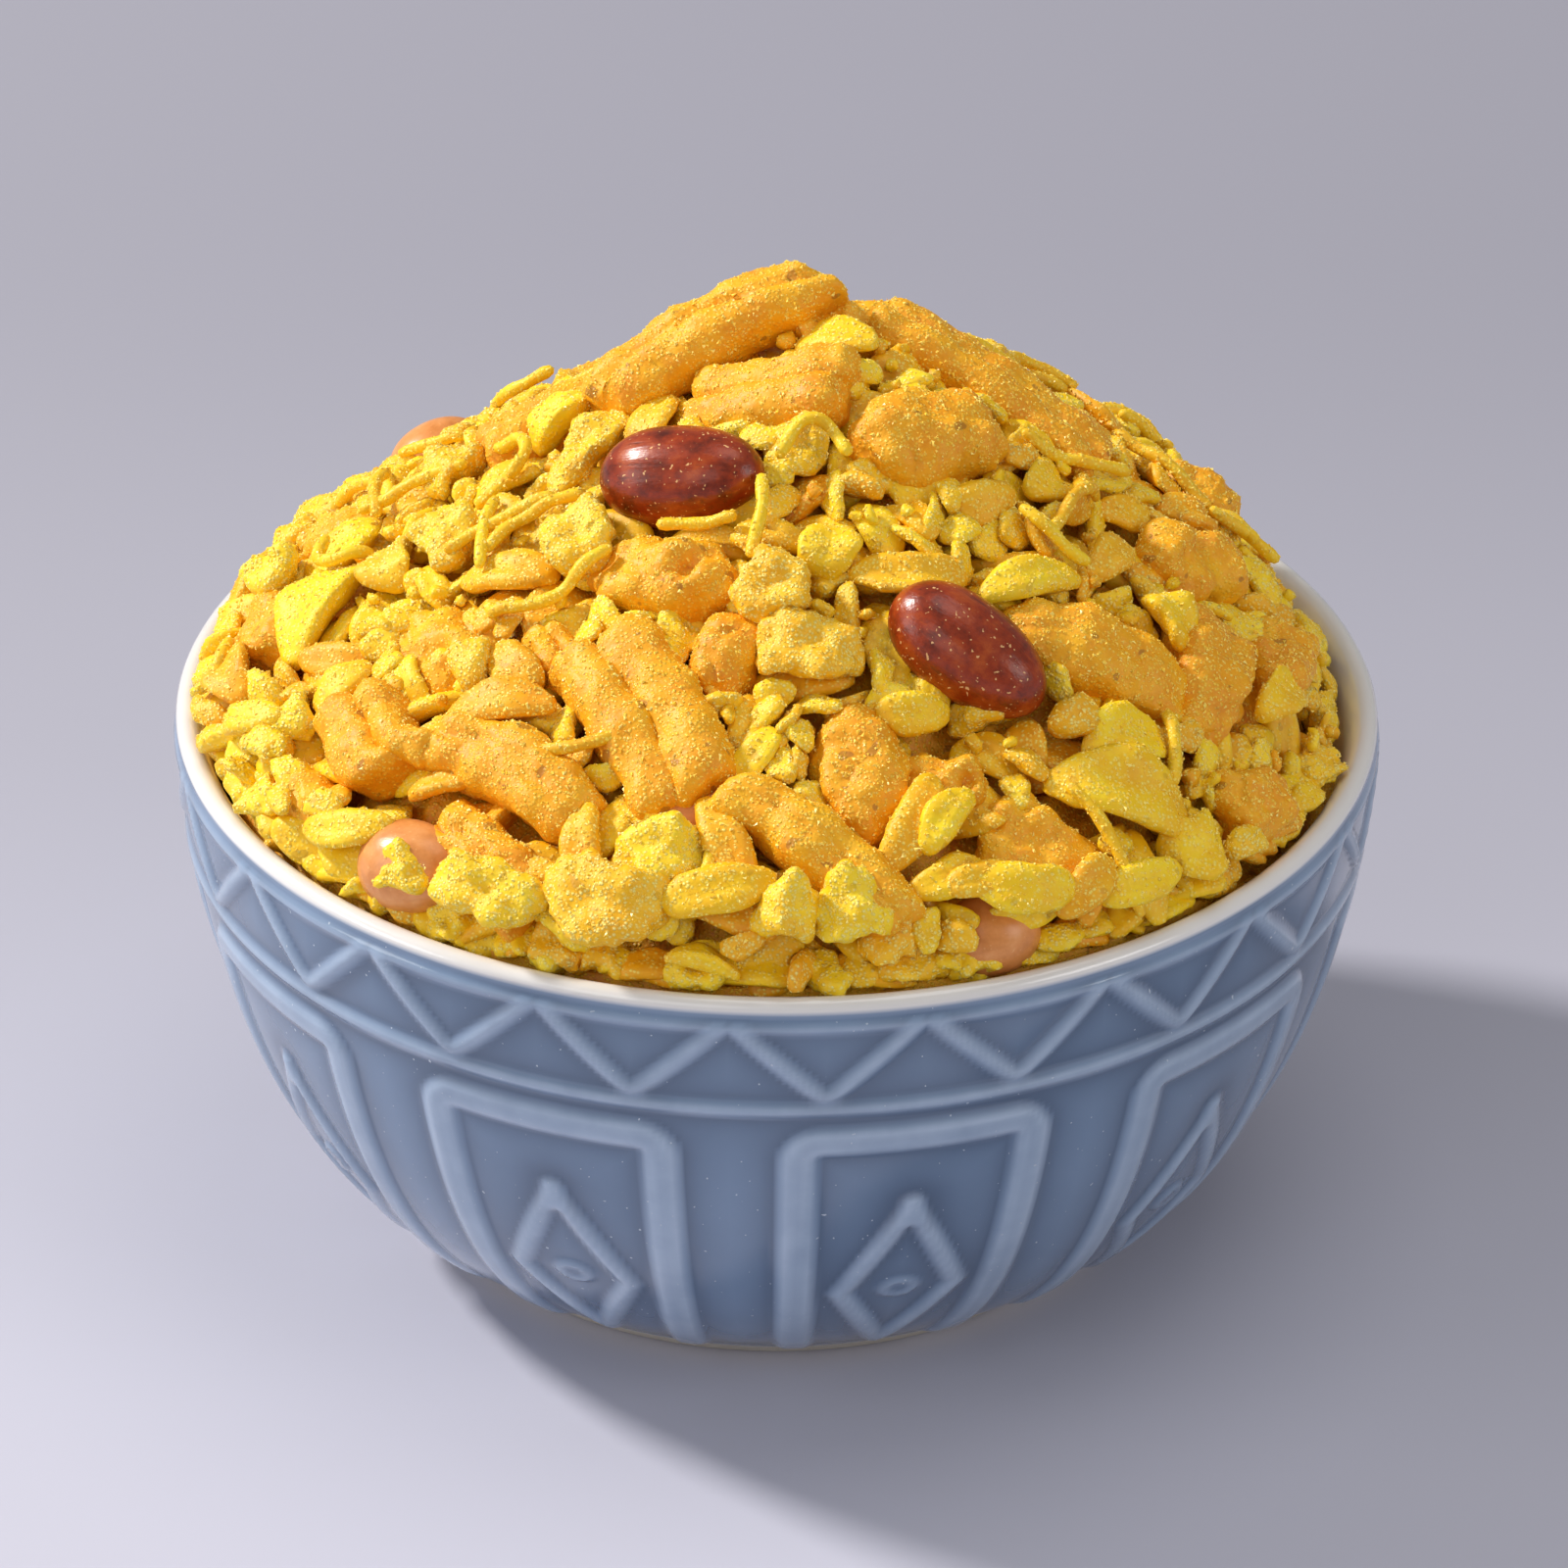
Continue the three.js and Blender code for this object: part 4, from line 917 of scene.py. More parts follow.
def newTree(name, sockets):
    # A Geometry Nodes tree from a geometry and these sockets to a geometry.
    tree = bpy.data.node_groups.new(name, "GeometryNodeTree")
    face = tree.interface
    face.new_socket("Geometry", in_out="INPUT", socket_type="NodeSocketGeometry")
    for socket, kind in sockets.items():
        face.new_socket(socket, in_out="INPUT", socket_type="NodeSocket" + kind)
    face.new_socket("Geometry", in_out="OUTPUT", socket_type="NodeSocketGeometry")
    return tree, node(tree, "NodeGroupInput").outputs


def endTree(tree, geometry, material):
    painted = node(tree, "GeometryNodeSetMaterial", {"Geometry": geometry, "Material": material})
    end = node(tree, "NodeGroupOutput")
    tree.links.new(painted.outputs[0], end.inputs[0])
    return tree


def named(tree, name, kind):
    read = node(tree, "GeometryNodeInputNamedAttribute", data_type=kind)
    read.inputs["Name"].default_value = name
    return read.outputs["Attribute"]


def scatterTree():
    tree, start = newTree("scatterPieces", {
        "Variants": "Collection", "Lump Height": "Float", "Lump Scale": "Float",
        "Grain Height": "Float", "Grain Scale": "Float", "Blister Height": "Float",
        "Blister Scale": "Float", "Material": "Material"})
    source = node(tree, "GeometryNodeCollectionInfo", {
        "Collection": start["Variants"], "Separate Children": True, "Reset Children": True})
    turn = node(tree, "FunctionNodeEulerToRotation", {"Euler": named(tree, "spin", "FLOAT_VECTOR")})
    put = node(tree, "GeometryNodeInstanceOnPoints", {
        "Points": start["Geometry"], "Instance": source.outputs[0], "Pick Instance": True,
        "Instance Index": named(tree, "which", "INT"), "Rotation": turn.outputs[0],
        "Scale": named(tree, "size", "FLOAT_VECTOR"),
    })
    real = node(tree, "GeometryNodeRealizeInstances", {"Geometry": put.outputs[0]})
    place = node(tree, "GeometryNodeInputPosition").outputs[0]
    outward = node(tree, "GeometryNodeInputNormal").outputs[0]
    heights = []
    for height, scale, detail in (("Lump Height", "Lump Scale", 2.0), ("Grain Height", "Grain Scale", 3.0)):
        inputs = {"Vector": place, "Scale": start[scale], "Detail": detail}
        noise = node(tree, "ShaderNodeTexNoise", inputs).outputs["Fac"]
        heights.append(reckon(tree, "MULTIPLY", reckon(tree, "SUBTRACT", noise, 0.5), start[height]))
    # Blisters bulge out, with creases between them.
    cells = node(tree, "ShaderNodeTexVoronoi", {"Vector": place, "Scale": start["Blister Scale"]})
    bulge = reckon(tree, "SUBTRACT", 0.45, cells.outputs["Distance"])
    bulge = reckon(tree, "MULTIPLY", bulge, start["Blister Height"])
    total = reckon(tree, "ADD", reckon(tree, "ADD", *heights), bulge)
    push = node(tree, "ShaderNodeVectorMath", {0: outward, "Scale": total}, operation="SCALE")
    moved = node(tree, "GeometryNodeSetPosition", {"Geometry": real.outputs[0], "Offset": push.outputs[0]})
    smooth = node(tree, "GeometryNodeSetShadeSmooth", {"Geometry": moved.outputs[0]})
    return endTree(tree, smooth.outputs[0], start["Material"])


def withNodes(obj, tree, values):
    # obj's mesh as the tree makes it, in a new plain object of the same name.
    modifier = obj.modifiers.new("pieces", "NODES")
    modifier.node_group = tree
    for item in tree.interface.items_tree:
        if item.in_out == "INPUT" and item.name in values:
            modifier[item.identifier] = values[item.name]
    obj.update_tag()
    graph = bpy.context.evaluated_depsgraph_get()
    graph.update()
    mesh = bpy.data.meshes.new_from_object(obj.evaluated_get(graph))
    name = obj.name
    bpy.data.objects.remove(obj)
    made = bpy.data.objects.new(name, mesh)
    scene.collection.objects.link(made)
    return made


def makeKind(name, kind, tree, material, lumps, grains, blisters):
    rows = np.array(placed[kind], float)
    points = meshObject(name, rows[:, :3], [])
    paint(points.data, "spin", rows[:, 3:6], "FLOAT_VECTOR")
    paint(points.data, "size", rows[:, 6:9] * mm, "FLOAT_VECTOR")
    paint(points.data, "which", rows[:, 9], "INT")
    paint(points.data, "tint", rows[:, 10])
    shelf = bpy.data.collections.new(name + "Variants")
    for i, shape in enumerate(variants[kind]):
        form = meshObject(f"{name}Variant{i}", *formOf(kind, shape), 1.0)
        scene.collection.objects.unlink(form)
        shelf.objects.link(form)
    made = withNodes(points, tree, {
        "Variants": shelf, "Lump Height": lumps[0] * mm, "Lump Scale": lumps[1],
        "Grain Height": grains[0] * mm, "Grain Scale": grains[1],
        "Blister Height": blisters[0] * mm, "Blister Scale": blisters[1], "Material": material,
    })
    for form in list(shelf.objects):
        bpy.data.objects.remove(form)
    bpy.data.collections.remove(shelf)
    print(name, len(rows), "pieces,", len(made.data.polygons), "faces")
    return made


# Materials.

def newMaterial(name):
    material = bpy.data.materials.new(name)
    material.use_nodes = True
    tree = material.node_tree
    tree.nodes.clear()
    shader = tree.nodes.new("ShaderNodeBsdfPrincipled")
    out = tree.nodes.new("ShaderNodeOutputMaterial")
    tree.links.new(shader.outputs[0], out.inputs[0])
    return material, tree, shader


def noiseOf(tree, scale, detail=3.0, rough=0.5):
    where = node(tree, "ShaderNodeTexCoord").outputs["Object"]
    inputs = {"Vector": where, "Scale": scale, "Detail": detail, "Roughness": rough}
    return node(tree, "ShaderNodeTexNoise", inputs).outputs["Fac"]


def ramp(tree, value, stops):
    made = node(tree, "ShaderNodeValToRGB", {"Fac": value})
    points = made.color_ramp.elements
    while len(points) < len(stops):
        points.new(0.5)
    for point, (at, colour) in zip(points, stops):
        point.position = at
        point.color = (*colour, 1.0)
    return made.outputs["Color"]


def mix(tree, share, a, b, blend="MIX"):
    made = node(tree, "ShaderNodeMix", data_type="RGBA", blend_type=blend)
    for socket, value in ((0, share), (6, a), (7, b)):
        if isinstance(value, bpy.types.NodeSocket):
            tree.links.new(value, made.inputs[socket])
        elif socket == 0:
            made.inputs[0].default_value = value
        else:
            made.inputs[socket].default_value = (*value, 1.0)
    return made.outputs[2]


def mapped(tree, value, low, high, toLow=0.0, toHigh=1.0, form="SMOOTHSTEP"):
    inputs = {"Value": value, "From Min": low, "From Max": high, "To Min": toLow, "To Max": toHigh}
    return node(tree, "ShaderNodeMapRange", inputs, interpolation_type=form).outputs[0]


def attribute(tree, name):
    return node(tree, "ShaderNodeAttribute", attribute_name=name).outputs["Fac"]


def bumped(tree, shader, layers):
    normal = None
    for height, distance, strength in layers:
        inputs = {"Height": height, "Distance": distance * mm, "Strength": strength}
        made = node(tree, "ShaderNodeBump", inputs)
        if normal is not None:
            tree.links.new(normal, made.inputs["Normal"])
        normal = made.outputs[0]
    tree.links.new(normal, shader.inputs["Normal"])


def crispMaterial(name):
    # Fried dough or rice: mottled, coated with crystals, with a few brown spots.
    look = looks[name]
    material, tree, shader = newMaterial(name)
    body = ramp(tree, noiseOf(tree, 260, 4, 0.65), list(zip((0.3, 0.5, 0.72), look["body"])))
    hue = ramp(tree, attribute(tree, "tint"), list(zip((0.0, 0.5, 1.0), look["hues"])))
    body = mix(tree, 1.0, body, hue, "MULTIPLY")
    # Wrinkles run where a coarse noise crosses its middle. They are bumped in, and the body is painted
    # darker along them toward its darkest colour: painted shade in the creases.
    away = reckon(tree, "ABSOLUTE", reckon(tree, "SUBTRACT", noiseOf(tree, 150, 2, 0.5), 0.5))
    wrinkleAndShade = mapped(tree, away, 0.0, 0.04, look["wrinklesAndShade"], 0.0)
    body = mix(tree, wrinkleAndShade, body, look["body"][0])
    # Crystals lie close together in some places and thinly in others.
    where = node(tree, "ShaderNodeTexCoord").outputs["Object"]
    cells = node(tree, "ShaderNodeTexVoronoi", {"Vector": where, "Scale": 2500.0})
    domes = mapped(tree, cells.outputs["Distance"], 0.05, 0.6, 1.0, 0.0)
    chance = node(tree, "ShaderNodeSeparateColor", {0: cells.outputs["Color"]}).outputs[0]
    patchy = reckon(tree, "MULTIPLY_ADD", noiseOf(tree, 340, 2), 1.6, chance)
    there = mapped(tree, patchy, look["bare"], look["bare"] + 0.4)
    crystals = reckon(tree, "MULTIPLY", domes, there)
    body = mix(tree, crystals, body, look["sugar"])
    spots = ramp(tree, noiseOf(tree, 620, 0, 0.4), [(0.755, (0, 0, 0)), (0.785, (1, 1, 1))])
    body = mix(tree, mix(tree, look["spots"], (0, 0, 0), spots), body, (0.2, 0.06, 0.015))
    tree.links.new(body, shader.inputs["Base Color"])
    tree.links.new(mapped(tree, crystals, 0.1, 0.7, 0.5, 0.3), shader.inputs["Roughness"])
    shader.inputs["Specular IOR Level"].default_value = 0.42
    dented = reckon(tree, "SUBTRACT", 1.0, wrinkleAndShade)
    grain = look["grain"]
    coarse = noiseOf(tree, 1000, 3, 0.6)
    bumped(tree, shader, [
        (dented, 0.2, 0.5), (coarse, 0.25 * grain, 0.5), (crystals, 0.13 * grain, 0.7)])
    return material


def crystalMaterial(name):
    material, tree, shader = newMaterial(name)
    body = ramp(tree, noiseOf(tree, 1700, 1), [
        (0.35, (1.0, 0.64, 0.05)), (0.5, (1.0, 0.74, 0.11)), (0.68, (1.0, 0.85, 0.24))])
    tree.links.new(body, shader.inputs["Base Color"])
    shader.inputs["Roughness"].default_value = 0.36
    shader.inputs["Specular IOR Level"].default_value = 0.45
    bumped(tree, shader, [(noiseOf(tree, 4000, 1), 0.05, 0.4)])
    return material


def glazeMaterial():
    material, tree, shader = newMaterial("glaze")
    thin, pool, glazed = (attribute(tree, n) for n in ("thin", "pool", "glazed"))
    where = node(tree, "ShaderNodeTexCoord").outputs["Object"]
    height = node(tree, "ShaderNodeSeparateXYZ", {0: where}).outputs[2]
    cloudy = mix(tree, noiseOf(tree, 75, 3), *bowl["glaze"])
    colour = mix(tree, mix(tree, 0.85, (0, 0, 0), pool), cloudy, bowl["moat"])
    # The glaze breaks unevenly over the lines, and runs thin just under the lip.
    uneven = mapped(tree, noiseOf(tree, 240, 3), 0.3, 0.7, 0.75, 1.0)
    thin = reckon(tree, "MULTIPLY", thin, uneven)
    thin = reckon(tree, "MAXIMUM", thin, mapped(tree, height, 51.2 * mm, 52.6 * mm, 0.0, 0.45))
    colour = mix(tree, thin, colour, bowl["ridge"])
    flecks = ramp(tree, noiseOf(tree, 2600, 0, 0.0), [(0.84, (0, 0, 0)), (0.86, (1, 1, 1))])
    colour = mix(tree, flecks, colour, (0.46, 0.53, 0.62))
    # The lip's white shows through in a slightly wavy line, and the foot's clay is bare.
    wavy = reckon(tree, "MULTIPLY_ADD", noiseOf(tree, 120, 2), 0.7 * mm, height)
    white = mapped(tree, wavy, 52.9 * mm, 53.3 * mm, form="LINEAR")
    white = reckon(tree, "MAXIMUM", white, reckon(tree, "SUBTRACT", 1.0, glazed))
    colour = mix(tree, white, colour, bowl["lip"])
    bare = mapped(tree, wavy, 2.4 * mm, 1.9 * mm, form="LINEAR")
    colour = mix(tree, bare, colour, bowl["clay"])
    tree.links.new(colour, shader.inputs["Base Color"])
    rough = mapped(tree, bare, 0.0, 1.0, bowl["roughness"], 0.8, "LINEAR")
    tree.links.new(rough, shader.inputs["Roughness"])
    shader.inputs["Coat Weight"].default_value = bowl["coat"]
    shader.inputs["Coat Roughness"].default_value = 0.08
    bumped(tree, shader, [(noiseOf(tree, 90, 2), 0.25, 0.35)])
    return material


def nutMaterial(name):
    look = nutLooks[name]
    colours, veined = look["body"], look["veined"]
    material, tree, shader = newMaterial(name)
    body = ramp(tree, noiseOf(tree, 330, 5, 0.65), list(zip((0.3, 0.52, 0.75), colours)))
    # Veins run along the seed, whose own coordinates are on its points.
    own = node(tree, "ShaderNodeAttribute", attribute_name="own").outputs["Vector"]
    stretch = (0.16, 1.0, 1.0)
    drawn = node(tree, "ShaderNodeVectorMath", {0: own, 1: stretch}, operation="MULTIPLY").outputs[0]
    inputs = {"Vector": drawn, "Scale": 0.9, "Detail": 4.0, "Roughness": 0.6}
    veins = node(tree, "ShaderNodeTexNoise", inputs).outputs["Fac"]
    body = mix(tree, mapped(tree, veins, 0.42, 0.3, 0.0, veined), body, colours[0])
    body = mix(tree, mapped(tree, veins, 0.6, 0.75, 0.0, veined * 0.6), body, colours[2])
    flecks = ramp(tree, noiseOf(tree, 2400, 1, 0.5), [(0.69, (0, 0, 0)), (0.73, (1, 1, 1))])
    body = mix(tree, mix(tree, look["dusty"], (0, 0, 0), flecks), body, (0.86, 0.52, 0.22))
    tree.links.new(body, shader.inputs["Base Color"])
    shader.inputs["Roughness"].default_value = look["roughness"]
    bumped(tree, shader, [(veins, 0.3, 0.4 * veined), (noiseOf(tree, 1300, 2), 0.08, 0.3)])
    return material


# Nuts, noodles and dust.

def nutVerts(long, wide, thick, stops=56, sides=44, cleft=0.05):
    v = np.linspace(-1, 1, stops + 2)[1:-1]
    u = np.sin(v * np.pi / 2)
    t = np.arange(sides) * 2 * np.pi / sides
    uu, tt = np.meshgrid(u, t, indexing="ij")
    full = (1 - np.abs(uu) ** 2.15) ** 0.5 * (1 - 0.07 * uu)
    y = wide / 2 * full * np.cos(tt)
    z = thick / 2 * full * np.sin(tt)
    dent = 1 - cleft * np.exp(-((np.cos(tt) - 0.98) / 0.02) ** 2)
    body = np.stack([long / 2 * uu, y * dent, z * dent], 2).reshape(-1, 3)
    tips = [[-long / 2, 0, 0]], [[long / 2, 0, 0]]
    return np.concatenate([tips[0], body, tips[1]]), tubeFaces(stops, sides)


def makeRedNut(name, row, material):
    nodeName, x, y, heading, rise, pitch = row
    up = heapNormal(x, y)
    turn = turnTo(heading, up, pitch)
    verts, faces = nutVerts(redNut["long"] - 0.1, redNut["wide"] - 0.1, redNut["thick"] - 0.1)
    # The seed tapers toward its germ and one side is a little fuller.
    verts[:, 2] *= 1 + 0.05 * np.sin(verts[:, 0] * 0.35 + len(name))
    place = np.array([x, y, heapTop(x, y)]) + up * rise
    obj = meshObject(name, verts @ turn.T + place, faces)
    paint(obj.data, "own", verts, "FLOAT_VECTOR")
    tidyMesh(obj)
    obj.data.materials.append(material)
    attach(obj, "root")
    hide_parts(nodeName)
    return obj


def makePaleNuts(material):
    verts, own, faces, base = [], [], [], 0
    for x, y, z, ax, ay, az, long, wide, thick, _, _ in placed["nut"]:
        v, f = nutVerts(long, wide, thick, 40, 32, 0.1)
        turn = Matrix.Rotation(az, 3, "Z") @ Matrix.Rotation(ay, 3, "Y") @ Matrix.Rotation(ax, 3, "X")
        verts.append(v @ np.array(turn).T + [x, y, z])
        own.append(v + [3 * x, y, z])
        faces += [tuple(i + base for i in face) for face in f]
        base += len(v)
    obj = meshObject("blanchedNuts", np.concatenate(verts), faces)
    paint(obj.data, "own", np.concatenate(own), "FLOAT_VECTOR")
    tidyMesh(obj)
    obj.data.materials.append(material)
    return obj


def noodleForm(stops):
    stops = np.array(stops, float)
    length = np.concatenate([[0], np.cumsum(np.hypot(*np.diff(stops[:, :2], axis=0).T))])
    count = max(6, int(length[-1] / 0.55))
    s = np.linspace(0, length[-1], count)
    # A smooth path through the stops, then laid on what is under it.
    x, y, rise = (np.interp(s, length, stops[:, k]) for k in range(3))
    for _ in range(3):
        for row in (x, y, rise):
            row[1:-1] = (row[:-2] + 2 * row[1:-1] + row[2:]) / 4
    i, j = cellOf(x, 2), cellOf(y, 2)
    under = np.array([ground[a - 1:a + 2, b - 1:b + 2].max() for a, b in zip(i, j)])
    for _ in range(4):
        under[1:-1] = np.maximum(under[1:-1], (under[:-2] + under[2:]) / 2)
    under = np.minimum(under, heapTop(x, y) + 1.6)
    z = under + 0.55 + rise
    path = np.stack([x, y, z], 1)
    for _ in range(2):
        path[1:-1] = (path[:-2] + 2 * path[1:-1] + path[2:]) / 4
    sides = noodleLook["sides"]
    along = np.gradient(path, axis=0)
    along /= np.linalg.norm(along, axis=1)[:, None]
    side = np.cross(along, [0.1, 0.2, 1.0])
    side /= np.linalg.norm(side, axis=1)[:, None]
    over = np.cross(side, along)
    t = np.arange(sides) * 2 * np.pi / sides
    thick = noodleLook["radius"] * (1 + 0.08 * np.sin(s * 1.7 + x[0]))
    thick[0] *= 0.7
    thick[-1] *= 0.7
    ring = path[:, None, :] + thick[:, None, None] * (
        side[:, None, :] * np.cos(t)[None, :, None] + over[:, None, :] * np.sin(t)[None, :, None])
    ends = path[0] - along[0] * 0.25, path[-1] + along[-1] * 0.25
    return np.concatenate([[ends[0]], ring.reshape(-1, 3), [ends[1]]]), tubeFaces(count, sides)


def makeNoodles(material):
    rows = list(shownNoodles)
    tries = 0
    while len(rows) < noodleLook["count"] and tries < 900:
        tries += 1
        r, a = 50 * math.sqrt(rng.random()), rng.uniform(0, 6.28)
        x, y = r * math.cos(a), r * math.sin(a)
        if y < -2 and rng.random() < 0.75:
            continue
        heading, bend = rng.uniform(0, 6.28), rng.normal(0, 0.5)
        stops = []
        for k in range(int(rng.integers(3, 5))):
            stops.append((x, y, 0.15 * k))
            x, y = x + 3.4 * math.cos(heading), y + 3.4 * math.sin(heading)
            heading += bend
        spots = [tuple(cellOf(p[:2])) for p in stops]
        if max(math.hypot(p[0], p[1]) for p in stops) > 50.5 or any(bigHere[s] for s in spots):
            continue
        rows.append(stops)
    verts, faces, tints, base = [], [], [], 0
    for stops in rows:
        v, f = noodleForm(stops)
        verts.append(v)
        faces += [tuple(i + base for i in face) for face in f]
        tints.append(np.full(len(v), rng.random()))
        base += len(v)
    obj = meshObject("noodles", np.concatenate(verts), faces)
    paint(obj.data, "tint", np.concatenate(tints))
    tidyMesh(obj)
    obj.data.materials.append(material)
    return obj


def dustTree():
    tree, start = newTree("dustGrains", {
        "Density": "Float", "Small": "Float", "Large": "Float", "Seed": "Int", "Material": "Material"})
    spread = node(tree, "GeometryNodeDistributePointsOnFaces", {
        "Mesh": start["Geometry"], "Density": start["Density"], "Seed": start["Seed"]})
    grain = node(tree, "GeometryNodeMeshCone", {
        "Vertices": 3, "Side Segments": 1, "Fill Segments": 1,
        "Radius Top": 0.0, "Radius Bottom": 0.6, "Depth": 0.5})
    tip = node(tree, "FunctionNodeRandomValue", {
        "Min": (-0.5, -0.5, 0), "Max": (0.5, 0.5, 6.28), "Seed": 5}, data_type="FLOAT_VECTOR")
    tip = node(tree, "FunctionNodeEulerToRotation", {"Euler": tip.outputs[0]})
    spin = node(tree, "FunctionNodeRotateRotation", {
        "Rotation": spread.outputs["Rotation"], "Rotate By": tip.outputs[0]}, rotation_space="LOCAL")
    size = node(tree, "FunctionNodeRandomValue", {
        "Min": start["Small"], "Max": start["Large"], "Seed": 9}, data_type="FLOAT")
    long = node(tree, "FunctionNodeRandomValue", {
        "Min": (0.8, 0.6, 0.6), "Max": (1.5, 1.0, 1.0), "Seed": 11}, data_type="FLOAT_VECTOR")
    scaled = node(tree, "ShaderNodeVectorMath", {
        0: long.outputs[0], "Scale": size.outputs["Value"]}, operation="SCALE")
    put = node(tree, "GeometryNodeInstanceOnPoints", {
        "Points": spread.outputs["Points"], "Instance": grain.outputs["Mesh"],
        "Rotation": spin.outputs[0], "Scale": scaled.outputs[0]})
    real = node(tree, "GeometryNodeRealizeInstances", {"Geometry": put.outputs[0]})
    return endTree(tree, real.outputs[0], start["Material"])


def dustShell(sources):
    # The faces that show from above or outside, which the crystal grains lie on.
    verts, faces, base = [], [], 0
    for obj in sources:
        mesh = obj.data
        co = np.zeros(len(mesh.vertices) * 3)
        mesh.vertices.foreach_get("co", co)
        co = co.reshape(-1, 3)
        mesh.calc_loop_triangles()
        tris = np.zeros(len(mesh.loop_triangles) * 3, np.int32)
        mesh.loop_triangles.foreach_get("vertices", tris)
        tris = tris.reshape(-1, 3)
        middle = co[tris].mean(1) / mm
        normal = np.cross(co[tris[:, 1]] - co[tris[:, 0]], co[tris[:, 2]] - co[tris[:, 0]])
        normal /= np.linalg.norm(normal, axis=1)[:, None] + 1e-12
        i, j = cellOf(middle[:, 0]), cellOf(middle[:, 1])
        shows = (middle[:, 2] > ground[i, j] - 1.5) & (normal[:, 2] > -0.1)
        verts.append(co)
        faces.append(tris[shows] + base)
        base += len(co)
    return meshObject("grainyFaces", np.concatenate(verts), np.concatenate(faces).tolist(), 1.0)


def makeDust(name, shell, tree, material):
    row = dust[name]
    points = bpy.data.objects.new(name, shell.data.copy())
    scene.collection.objects.link(points)
    area = sum(p.area for p in shell.data.polygons)
    made = withNodes(points, tree, {
        "Density": row["count"] / area, "Small": row["small"] * mm, "Large": row["large"] * mm,
        "Seed": row["seed"], "Material": material})
    made.data.shade_flat()
    print(name, len(made.data.polygons), "faces over", round(area * 1e6), "mm2")
    return made


# Building it.

bowlPiece = makeBowl()
bowlPiece.data.materials.append(glazeMaterial())
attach(bowlPiece, "root")
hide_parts("bowl")
print("bowl", len(bowlPiece.data.polygons), "faces")

orange, yellow, paler = (crispMaterial(n) for n in ("crispOrange", "flakeYellow", "puffedYellow"))

core = makeCore()
tidyMesh(core)
paint(core.data, "tint", np.full(len(core.data.vertices), 0.5))
# The core wears the painted shade colour of the deep gaps.
core.data.materials.append(crispMaterial("crumbCore"))
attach(core, "root")
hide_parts("mix_heap")

placePieces()
scatterPieces = scatterTree()
made = [core]
for name, kind, material, lumps, grains, blisters in (
    ("crispStrips", "strip", orange, (1.3, 170), (0.7, 800), (0.7, 300)),
    ("crispNuggets", "nugget", orange, (2.0, 190), (1.0, 750), (1.5, 280)),
    ("puffedFlakes", "rough", paler, (1.0, 320), (0.8, 850), (1.1, 430)),
    ("flatLeaves", "leaf", yellow, (0.8, 240), (0.3, 900), (0.4, 400)),
    ("riceSlips", "slip", yellow, (0.6, 280), (0.25, 950), (0.2, 500)),
    ("riceGrains", "grain", paler, (0.5, 350), (0.25, 1000), (0.4, 600)),
    ("crumbs", "crumb", yellow, (0.6, 800), (0.2, 1500), (0.2, 900)),
):
    made.append(makeKind(name, kind, scatterPieces, material, lumps, grains, blisters))
made.append(makeNoodles(crispMaterial("noodleYellow")))
grainy = made[1:]

paleNutPiece = makePaleNuts(nutMaterial("blanchedNut"))
shell = dustShell(grainy)
crystal = crystalMaterial("sugarCrystal")
dustGrains = dustTree()
made += [makeDust(name, shell, dustGrains, crystal) for name in dust]
bpy.data.objects.remove(shell)
for obj in made[1:] + [paleNutPiece]:
    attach(obj, "root")
redSkin = nutMaterial("redNutSkin")
for name, row in redNuts.items():
    makeRedNut(name, row, redSkin)
print("pieces made")

# Floor, light and camera.

# near and far are the table's painted lighter front and painted darker back, which stand in for light
# falloff.
table = {"reach": 900, "near": (0.56, 0.555, 0.65), "far": (0.31, 0.308, 0.37), "roughness": 0.7}
reach = table["reach"]
corners = [(-reach, -reach, 0), (reach, -reach, 0), (reach, reach, 0), (-reach, reach, 0)]
floor = meshObject("floor", corners, [(0, 1, 2, 3)])
floorMaterial, floorTree, floorShader = newMaterial("paleTable")
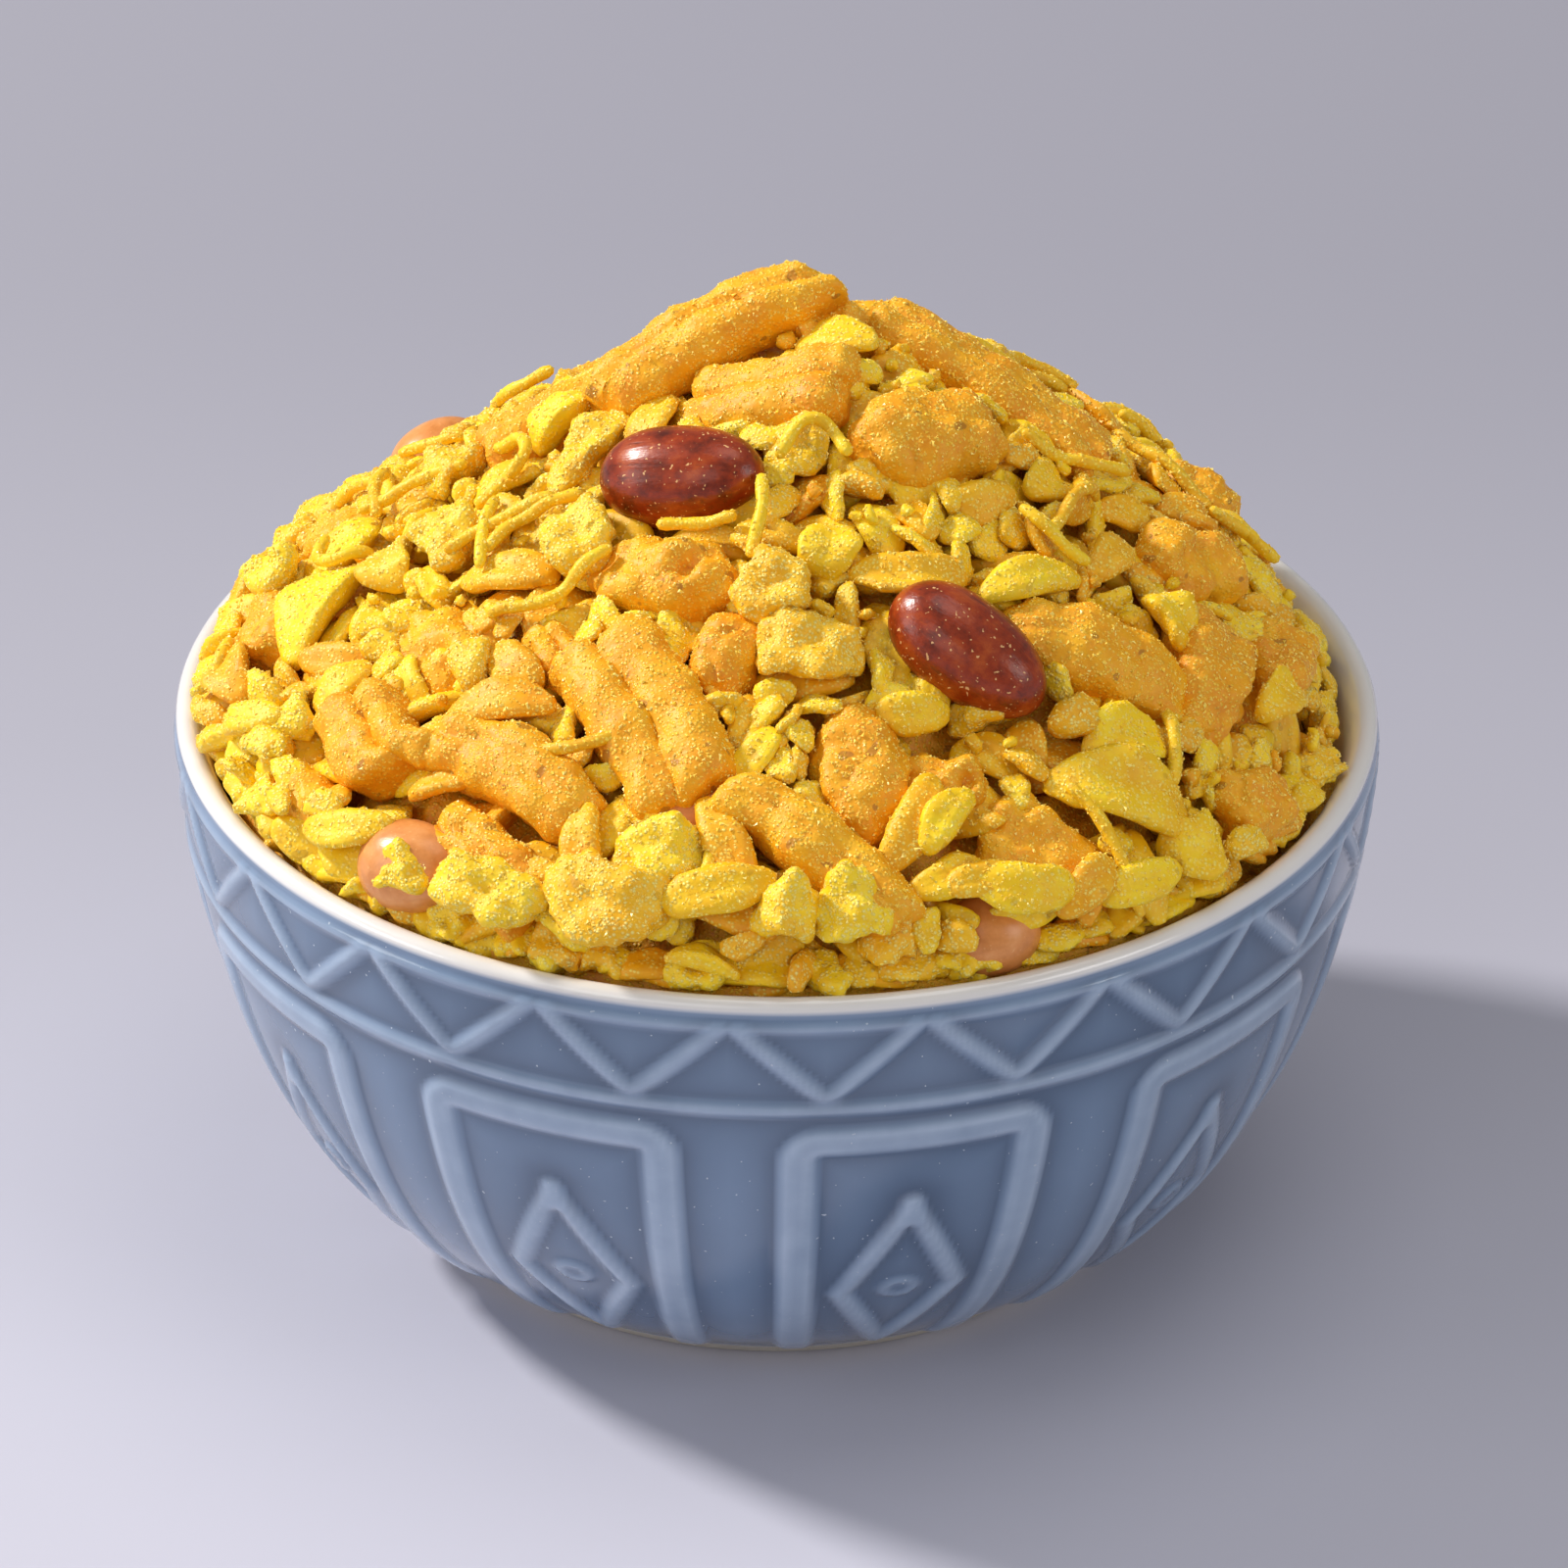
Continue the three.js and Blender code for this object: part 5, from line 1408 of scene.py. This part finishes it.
# Painted light falloff: the table's colour is painted lighter in front and darker toward the back, where
# the studio's light falls off.
where = node(floorTree, "ShaderNodeTexCoord").outputs["Object"]
away = node(floorTree, "ShaderNodeSeparateXYZ", {0: where}).outputs[1]
shade = mix(floorTree, mapped(floorTree, away, -0.12, 0.22), table["near"], table["far"])
floorTree.links.new(shade, floorShader.inputs["Base Color"])
floorShader.inputs["Roughness"].default_value = table["roughness"]
floor.data.materials.append(floorMaterial)


def areaLight(name, place, target, size, power, colour):
    data = bpy.data.lights.new(name, "AREA")
    data.shape = "DISK"
    data.size = size
    data.energy = power
    data.color = colour
    obj = bpy.data.objects.new(name, data)
    obj.location = place
    obj.rotation_euler = (Vector(target) - Vector(place)).to_track_quat("-Z", "Y").to_euler()
    scene.collection.objects.link(obj)
    return obj


areaLight("keyLight", (-1.05, 0.42, 0.95), (0, 0, 0.05), 0.2, 22.5, (1.0, 0.97, 0.93))
areaLight("frontFill", (-0.5, -1.1, 0.8), (0, 0, 0.05), 0.9, 2.5, (1.0, 0.99, 0.98))
areaLight("leftFill", (-1.25, -0.35, 0.4), (0, 0, 0.04), 0.7, 3.8, (1.0, 1.0, 1.0))
areaLight("topSoft", (0.2, 0.1, 1.3), (0, 0, 0.05), 0.8, 2.8, (1.0, 1.0, 1.0))
areaLight("rightFill", (1.1, -0.6, 0.6), (0, 0, 0.05), 0.7, 3.9, (1.0, 0.99, 0.97))
world = bpy.data.worlds.new("softRoom")
world.use_nodes = True
world.node_tree.nodes["Background"].inputs["Color"].default_value = (0.88, 0.87, 0.87, 1)
world.node_tree.nodes["Background"].inputs["Strength"].default_value = 0.3
scene.world = world
scene.view_settings.view_transform = "Standard"

view = {
    "lens": 184.65, "sensor": 36, "farthest": 10, "place": (0.0, -0.66865, 0.42635),
    "ahead": (0.00096879, 0.86759648, -0.49726795), "upward": (-0.00826439, 0.49725815, 0.86756327),
}
camera = bpy.data.cameras.new("photoView")
camera.lens = view["lens"]
camera.sensor_width = view["sensor"]
camera.clip_end = view["farthest"]
cameraObject = bpy.data.objects.new("photoView", camera)
ahead, upward = Vector(view["ahead"]), Vector(view["upward"])
facing = Matrix((ahead.cross(upward), upward, -ahead)).transposed()
cameraObject.matrix_world = Matrix.Translation(view["place"]) @ facing.to_4x4()
scene.collection.objects.link(cameraObject)
scene.camera = cameraObject
